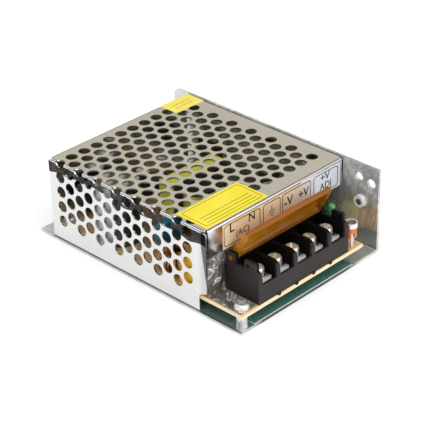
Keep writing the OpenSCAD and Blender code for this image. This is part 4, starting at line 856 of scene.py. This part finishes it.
def blockFeet():
    front = nodeBox("terminal_block")[0].y
    half, ledge = footFacts["half"] * mm, front - footFacts["ledge"] * mm
    top = boardTop + footFacts["rise"] * mm
    bm = bmesh.new()
    for i in range(1, 5):
        x = (nodeBox("wire_clamp_%d" % i)[1].x + nodeBox("wire_clamp_%d" % (i + 1))[0].x) / 2
        outline = []
        for k in range(footFacts["steps"] + 1):
            angle = math.pi * k / footFacts["steps"]
            drop = math.sin(angle) * (footFacts["drop"] + footFacts["rise"]) * mm
            outline.append((x + math.cos(angle) * half, top - drop))
        outer = [bm.verts.new((px, front - footFacts["reach"] * mm, pz)) for px, pz in outline]
        inner = [bm.verts.new((px, ledge, pz)) for px, pz in outline]
        bridge(bm, outer, inner)
        bm.faces.new(outer)
        bm.faces.new(list(reversed(inner)))
        sole = ((x - half, ledge), (x + half, ledge), (x + half, front), (x - half, front))
        addBar(bm, [(px, py, pz) for pz in (boardTop + footFacts["clear"] * mm, top) for px, py in sole])
    addPiece("blockFeet", bm, "root", mouldedPlastic("footBlack"), False)


blockFeet()
print("block feet added")


# ribs pressed in each wire clamp, clear of its washer
ribFacts = {"radius": 0.17, "inset": 0.35, "offsets": (0.3, 0.85), "sides": 10}


def pressedRibs():
    for i in range(1, 6):
        low, high = nodeBox("wire_clamp_%d" % i)
        ends = (low.x + ribFacts["inset"] * mm, high.x - ribFacts["inset"] * mm)
        bm = bmesh.new()
        for offset in ribFacts["offsets"]:
            for y in (low.y + offset * mm, high.y - offset * mm):
                tube(bm, [Vector((x, y, high.z)) for x in ends], ribFacts["radius"] * mm, ribFacts["sides"])
        addPiece("clampRibs_%d" % i, bm, "clamp_%d" % i, brightNickel)


pressedRibs()
print("clamp ribs pressed")


# threads cut in the wall's tapped holes, coloured dark as painted shade inside the holes
threadFacts = {"radius": 1.24, "ridge": 0.10, "pitch": 0.5, "turns": 4.3, "inset": 0.1, "steps": 24,
               "sides": 6}


def cutThreads():
    low, high = nodeBox("chassis")
    radius, steps = threadFacts["radius"] * mm, threadFacts["steps"]
    bm = bmesh.new()
    for along, up in chassisFinish["collars"]:
        points = []
        for k in range(int(threadFacts["turns"] * steps)):
            angle = 2 * math.pi * k / steps
            x = high.x - (threadFacts["inset"] + threadFacts["pitch"] * k / steps) * mm
            y = low.y + along * mm + math.cos(angle) * radius
            points.append(Vector((x, y, low.z + up * mm + math.sin(angle) * radius)))
        tube(bm, points, threadFacts["ridge"] * mm, threadFacts["sides"])
    addPiece("tappedThreads", bm, "root", platedSteel("shadedThreadMetal"))


cutThreads()
print("threads cut")


# clear film that closes the bay's left side, creased by hand
filmFacts = {"thickness": 0.12, "foldRadius": 1.8, "across": 60, "along": 110, "creases": 0.75,
             "bulge": 1.2, "lift": 0.12, "inset": 0.2, "white": (0.92, 0.92, 0.91), "clear": 0.78,
             "tints": [(0.35, (0.34, 0.33, 0.31)), (0.55, (0.55, 0.54, 0.51)), (0.7, (0.72, 0.71, 0.68))]}


def crinkledFilm():  # clear film, painted white along its creases as glints
    s = Shader("crinkledFilm").set(ior=1.5, rough=0.05, coat=0.6, coatRough=0.03)
    folds = s.noise(95, 4, s.stretched((1, 1, 0.8)), 0.55, 1.4)
    fine = s.noise(300, 3, None, 0.6, 1.2)
    ridge = s.levels(s.math("ABSOLUTE", s.minus(folds, 0.5)), 1.0, 0.0, 0.004, 0.022)
    glint = s.times(ridge, s.levels(fine, 0.0, 1.0, 0.42, 0.52))
    paintedGlintPatch = s.times(s.levels(folds, 0.0, 0.8, 0.56, 0.68), s.levels(fine, 0.0, 1.0, 0.40, 0.62))
    # white crease lines and patches are painted glints
    white = s.math("MINIMUM", s.plus(glint, paintedGlintPatch), 1.0)
    s.wire(s.mix(white, s.ramp(folds, filmFacts["tints"]), filmFacts["white"]), "Base Color")
    s.wire(s.times(s.inverse(white), filmFacts["clear"]), "Transmission Weight")
    s.bump(s.plus(folds, s.times(fine, 0.4)), 0.9, 1.2 * mm)
    return s.mat


def creaseHeight(x, run):  # sharp folded facets rather than soft waves, in millimetres
    broad = 1 - abs(noise.noise(Vector((x * 150 + run * 60, run * 130, 2.0)))) * 2.2
    sharp = 1 - abs(noise.noise(Vector((x * 420 - run * 160, run * 360, 5.0)))) * 2.0
    return 0.55 * broad + 0.30 * sharp


def bayFilm():
    low, high = nodeBox("bay_film")
    radius = filmFacts["foldRadius"] * mm
    wide, long = filmFacts["across"], filmFacts["along"]
    foot = high.y - low.y - radius
    rise = high.z - low.z - radius
    arc = radius * math.pi / 2
    bm = bmesh.new()
    grid = []
    for j in range(long + 1):
        row = []
        run = (foot + arc + rise) * j / long
        for i in range(wide + 1):
            across = i / wide
            x = low.x + filmFacts["inset"] * mm + (high.x - low.x) * across
            if run < foot:
                y, z, normal = low.y + run, low.z, Vector((0, 0, 1))
            elif run < foot + arc:
                turn = (run - foot) / arc * math.pi / 2
                y = low.y + foot + math.sin(turn) * radius
                z = low.z + radius - math.cos(turn) * radius
                normal = Vector((0, -math.sin(turn), math.cos(turn)))
            else:
                y, z, normal = high.y, low.z + radius + (run - foot - arc), Vector((0, -1, 0))
            free = min(1.0, max(0.0, (run - foot * 0.5) / (foot * 0.4)))  # held flat under the screw
            risen = min(1, max(0, (run - foot) / (arc + rise)))
            bulge = filmFacts["bulge"] * math.sin(math.pi * across) * math.sin(math.pi * risen) * free
            lift = creaseHeight(x, run) * filmFacts["creases"] * (0.25 + 0.75 * free) + bulge
            row.append(bm.verts.new(Vector((x, y, z)) + normal * max(filmFacts["lift"], lift) * mm))
        grid.append(row)
    for j in range(long):
        for i in range(wide):
            bm.faces.new((grid[j][i], grid[j][i + 1], grid[j + 1][i + 1], grid[j + 1][i]))
    piece = addPiece("bayFilmSheet", bm, "root", crinkledFilm(), False)
    solid = piece.modifiers.new("thickness", "SOLIDIFY")
    solid.thickness = filmFacts["thickness"] * mm
    solid.offset = 1
    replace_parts(piece, "bay_film")


bayFilm()
print("bay film laid")


# moulded root that joins the cover's plate to its hinge line
rootFacts = {"open": 55, "inset": 2.4, "rounding": 0.5,
             "profile": [(-5.2, 1.52), (-3.4, 1.0), (-2.2, 0.1), (-1.55, -0.7), (-0.9, -1.3), (0.0, -1.55),
                         (0.9, -1.25), (1.4, -0.5), (1.5, 0.4), (1.19, 1.52)]}


def coverRoot():
    low, high = nodeBox("terminal_cover")
    turn = math.radians(-rootFacts["open"])
    bm = bmesh.new()
    rings = []
    for x in (low.x + rootFacts["inset"] * mm, high.x - rootFacts["inset"] * mm):
        ring = []
        for y, z in rootFacts["profile"]:
            ring.append(bm.verts.new((x, coverHinge[1] + (y * math.cos(turn) - z * math.sin(turn)) * mm,
                                      coverHinge[2] + (y * math.sin(turn) + z * math.cos(turn)) * mm)))
        rings.append(ring)
    bridge(bm, *rings)
    bm.faces.new(rings[0])
    bm.faces.new(list(reversed(rings[1])))
    amber = nodes["terminal_cover"].data.materials[0]
    piece = addPiece("terminalCoverRoot", bm, "terminal_cover", amber, False)
    soften(piece, rootFacts["rounding"], 3, 15)


coverRoot()
print("cover root added")


# printing on the labels: thin raised ink
inkFacts = {"height": 0.02, "bold": 0.012,
            "tints": [(0.3, (0.012, 0.011, 0.012)), (0.7, (0.035, 0.03, 0.032))]}


def printInk():
    s = Shader("printInk").set(specular=0.3)
    s.wire(s.ramp(s.noise(1500, 2), inkFacts["tints"]), "Base Color")
    s.wire(s.levels(s.noise(900, 2), 0.4, 0.5), "Roughness")
    return s.mat


def addLetters(bm, plane, text, x, y, size):  # generic markings, centred at x, y on the label
    curve = bpy.data.curves.new("lettering", "FONT")
    curve.body = text
    curve.size = size * mm
    curve.align_x = "CENTER"
    curve.align_y = "CENTER"
    curve.extrude = inkFacts["height"] * mm / 2
    curve.offset = inkFacts["bold"] * mm * size
    curve.resolution_u = 3
    holder = bpy.data.objects.new("lettering", curve)
    bpy.context.scene.collection.objects.link(holder)
    bpy.context.view_layer.update()
    graph = bpy.context.evaluated_depsgraph_get()
    mesh = bpy.data.meshes.new_from_object(holder.evaluated_get(graph))
    mesh.transform(plane @ Matrix.Translation(Vector((x, y, inkFacts["height"] / 2)) * mm))
    bm.from_mesh(mesh)
    bpy.data.objects.remove(holder)
    bpy.data.curves.remove(curve)
    bpy.data.meshes.remove(mesh)


def addRule(bm, plane, x0, x1, y0, y1):  # a printed bar in the label's own plane
    corners = ((x0, y0), (x1, y0), (x1, y1), (x0, y1))
    addBar(bm, [plane @ (Vector((x, y, z)) * mm) for z in (0, inkFacts["height"]) for x, y in corners])


def addFrame(bm, plane, x0, x1, y0, y1, radius, width):  # rounded outline
    outer, inner = [], []
    for cx, cy, start in ((x1 - radius, y1 - radius, 0), (x0 + radius, y1 - radius, 90),
                          (x0 + radius, y0 + radius, 180), (x1 - radius, y0 + radius, 270)):
        for k in range(7):
            angle = math.radians(start + 15 * k)
            outer.append((cx + math.cos(angle) * radius, cy + math.sin(angle) * radius))
            inner.append((cx + math.cos(angle) * (radius - width),
                          cy + math.sin(angle) * (radius - width)))
    rings = []
    for ring, z in ((outer, 0), (inner, 0), (inner, inkFacts["height"]), (outer, inkFacts["height"])):
        rings.append([bm.verts.new(plane @ (Vector((x, y, z)) * mm)) for x, y in ring])
    for a, b in zip(rings, rings[1:] + rings[:1]):
        bridge(bm, a, b)


ink = printInk()
terminalPrint = {"frames": [(-29.3, -9.9), (-8.5, 1.1), (2.1, 18.1), (19.7, 33.9)],
                 "foot": 0.7, "head": 0.5, "line": 0.36, "corner": 1.4,
                 "earthStem": (0.18, 5.5, 7.7), "earthLine": 0.35,
                 "earthBars": [(1.7, 5.2), (1.15, 4.2), (0.6, 3.2)],
                 "letters": [("L", -25.1, 7.4, 5.6), ("N", -14.5, 7.5, 4.9), ("(AC)", -19.4, 3.8, 3.6),
                             ("-V", 5.5, 5.3, 5.3), ("+V", 14.0, 5.3, 5.0), ("+V", 26.3, 7.3, 4.5),
                             ("ADJ", 26.8, 3.4, 4.1)]}


def printTerminalLabel():
    low, high = nodeBox("terminal_label")
    plane = Matrix.Translation((0, low.y, low.z)) @ Matrix.Rotation(math.radians(90), 4, "X")
    head = (high.z - low.z) / mm - terminalPrint["head"]
    bm = bmesh.new()
    for x0, x1 in terminalPrint["frames"]:
        addFrame(bm, plane, x0, x1, terminalPrint["foot"], head, terminalPrint["corner"],
                 terminalPrint["line"])
    middle = sum(terminalPrint["frames"][1]) / 2
    half, foot, top = terminalPrint["earthStem"]
    addRule(bm, plane, middle - half, middle + half, foot, top)
    for half, y in terminalPrint["earthBars"]:
        addRule(bm, plane, middle - half, middle + half, y, y + terminalPrint["earthLine"])
    for text, x, y, size in terminalPrint["letters"]:
        addLetters(bm, plane, text, x, y, size)
    addPiece("terminalLabelPrint", bm, "root", ink, False)


yellowPrint = {  # plain ruled lines, and a border on the large label
    "top_label": {"piece": "topLabelPrint", "border": 1.2, "corner": 0.8, "line": 0.22, "side": 3.2,
                  "first": 2.8, "gap": 1.9, "rows": 3},
    "rear_label": {"piece": "rearLabelPrint", "border": 0, "corner": 0, "line": 0.2, "side": 3.0,
                   "first": 3.2, "gap": 2.4, "rows": 2},
}


def printYellowLabel(name):
    facts = yellowPrint[name]
    low, high = nodeBox(name)
    plane = Matrix.Translation((low.x, low.y, high.z))
    wide, deep = (high.x - low.x) / mm, (high.y - low.y) / mm
    border, line = facts["border"], facts["line"]
    bm = bmesh.new()
    if border:
        addFrame(bm, plane, border, wide - border, border, deep - border, facts["corner"], line)
    for k in range(facts["rows"]):
        y = facts["first"] + k * facts["gap"]
        addRule(bm, plane, facts["side"], wide - facts["side"], y, y + line)
    addPiece(facts["piece"], bm, "root", ink, False)


printTerminalLabel()
for labelName in yellowPrint:
    printYellowLabel(labelName)
print("labels printed")


# light and ground
groundFacts = {"half": 3.0, "drop": 0.05, "colour": (0.97, 0.97, 0.97, 1), "lift": 0.16, "glossyLift": 0.5}


def makeGround():
    bm = bmesh.new()
    bmesh.ops.create_grid(bm, x_segments=1, y_segments=1, size=groundFacts["half"])
    mesh = bpy.data.meshes.new("whiteGround")
    bm.to_mesh(mesh)
    bm.free()
    ground = bpy.data.objects.new("whiteGround", mesh)
    ground.location = (0, 0, -groundFacts["drop"] * mm)
    bpy.context.scene.collection.objects.link(ground)
    s = Shader("whiteGround").set(colour=groundFacts["colour"], rough=0.9, specular=0.0, glow=(1, 1, 1, 1))
    path = s.node("ShaderNodeLightPath").outputs
    seen = s.most(path["Is Camera Ray"], path["Is Transmission Ray"],
                  s.times(path["Is Glossy Ray"], groundFacts["glossyLift"]))
    s.wire(s.times(seen, groundFacts["lift"]), "Emission Strength")  # lifts white, keeps the shadow
    mesh.materials.append(s.mat)


studio = {
    "level": 0.85,  # on matt surfaces; the rest is what metals mirror, from below to above
    "rise": [(0.0, (0.035, 0.032, 0.035)), (0.28, (0.035, 0.032, 0.035)), (0.42, (0.64, 0.59, 0.48)),
             (0.58, (0.64, 0.59, 0.48)), (0.70, (0.035, 0.032, 0.035)), (0.90, (0.42, 0.42, 0.42))],
    "boxes": [((-0.45, 0.60, 0.66), 0.90, 0.94), ((-0.3, -0.9, 0.40), 0.86, 0.93),
              ((0.62, -0.52, 0.58), 0.93, 0.965)],
}


def makeWorld():  # plain white to the camera, a softbox studio to the metals
    world = bpy.data.worlds.new("studio")
    bpy.context.scene.world = world
    world.use_nodes = True
    tree = world.node_tree
    tree.nodes.clear()
    look = addNode(tree, "ShaderNodeTexCoord").outputs["Generated"]
    height = addNode(tree, "ShaderNodeSeparateXYZ", {0: look}).outputs["Z"]
    colour = addRamp(tree, height, studio["rise"])
    for direction, outer, inner in studio["boxes"]:
        facing = addNode(tree, "ShaderNodeVectorMath", {0: look, 1: Vector(direction).normalized()},
                         operation="DOT_PRODUCT").outputs["Value"]
        inside = addNode(tree, "ShaderNodeMapRange", {"Value": facing, "From Min": outer,
                                                      "From Max": inner}).outputs[0]
        colour = addNode(tree, "ShaderNodeMix", {0: inside, 6: colour, 7: (1, 1, 1, 1)},
                         data_type="RGBA").outputs[2]
    path = addNode(tree, "ShaderNodeLightPath").outputs
    seen = addNode(tree, "ShaderNodeMath", {0: path["Is Camera Ray"], 1: path["Is Transmission Ray"]},
                   operation="MAXIMUM").outputs[0]
    white = addNode(tree, "ShaderNodeBackground", {"Strength": 1.0}).outputs[0]
    graded = addNode(tree, "ShaderNodeBackground", {"Color": colour}).outputs[0]
    soft = addNode(tree, "ShaderNodeBackground", {"Strength": studio["level"]}).outputs[0]
    glossy = addNode(tree, "ShaderNodeMixShader", {0: path["Is Glossy Ray"], 1: soft, 2: graded}).outputs[0]
    final = addNode(tree, "ShaderNodeMixShader", {0: seen, 1: glossy, 2: white}).outputs[0]
    addNode(tree, "ShaderNodeOutputWorld", {0: final})


aim = (0, 0, 0.02)
lamps = {
    "keySoftbox": {"location": (-0.35, -0.35, 0.9), "size": 1.2, "energy": 5.0},
    "frontFill": {"location": (0.25, -0.9, 0.45), "size": 0.9, "energy": 2.6},
}


def areaLamp(name, location, size, energy):  # soft square lamp, aimed at the supply
    data = bpy.data.lights.new(name, "AREA")
    data.energy = energy
    data.size = size
    lamp = bpy.data.objects.new(name, data)
    lamp.location = location
    lamp.rotation_euler = (Vector(aim) - Vector(location)).to_track_quat("-Z", "Y").to_euler()
    bpy.context.scene.collection.objects.link(lamp)


makeGround()
makeWorld()
for lampName, facts in lamps.items():
    areaLamp(lampName, **facts)
bpy.context.scene.view_settings.view_transform = "Standard"
print("light and ground set")
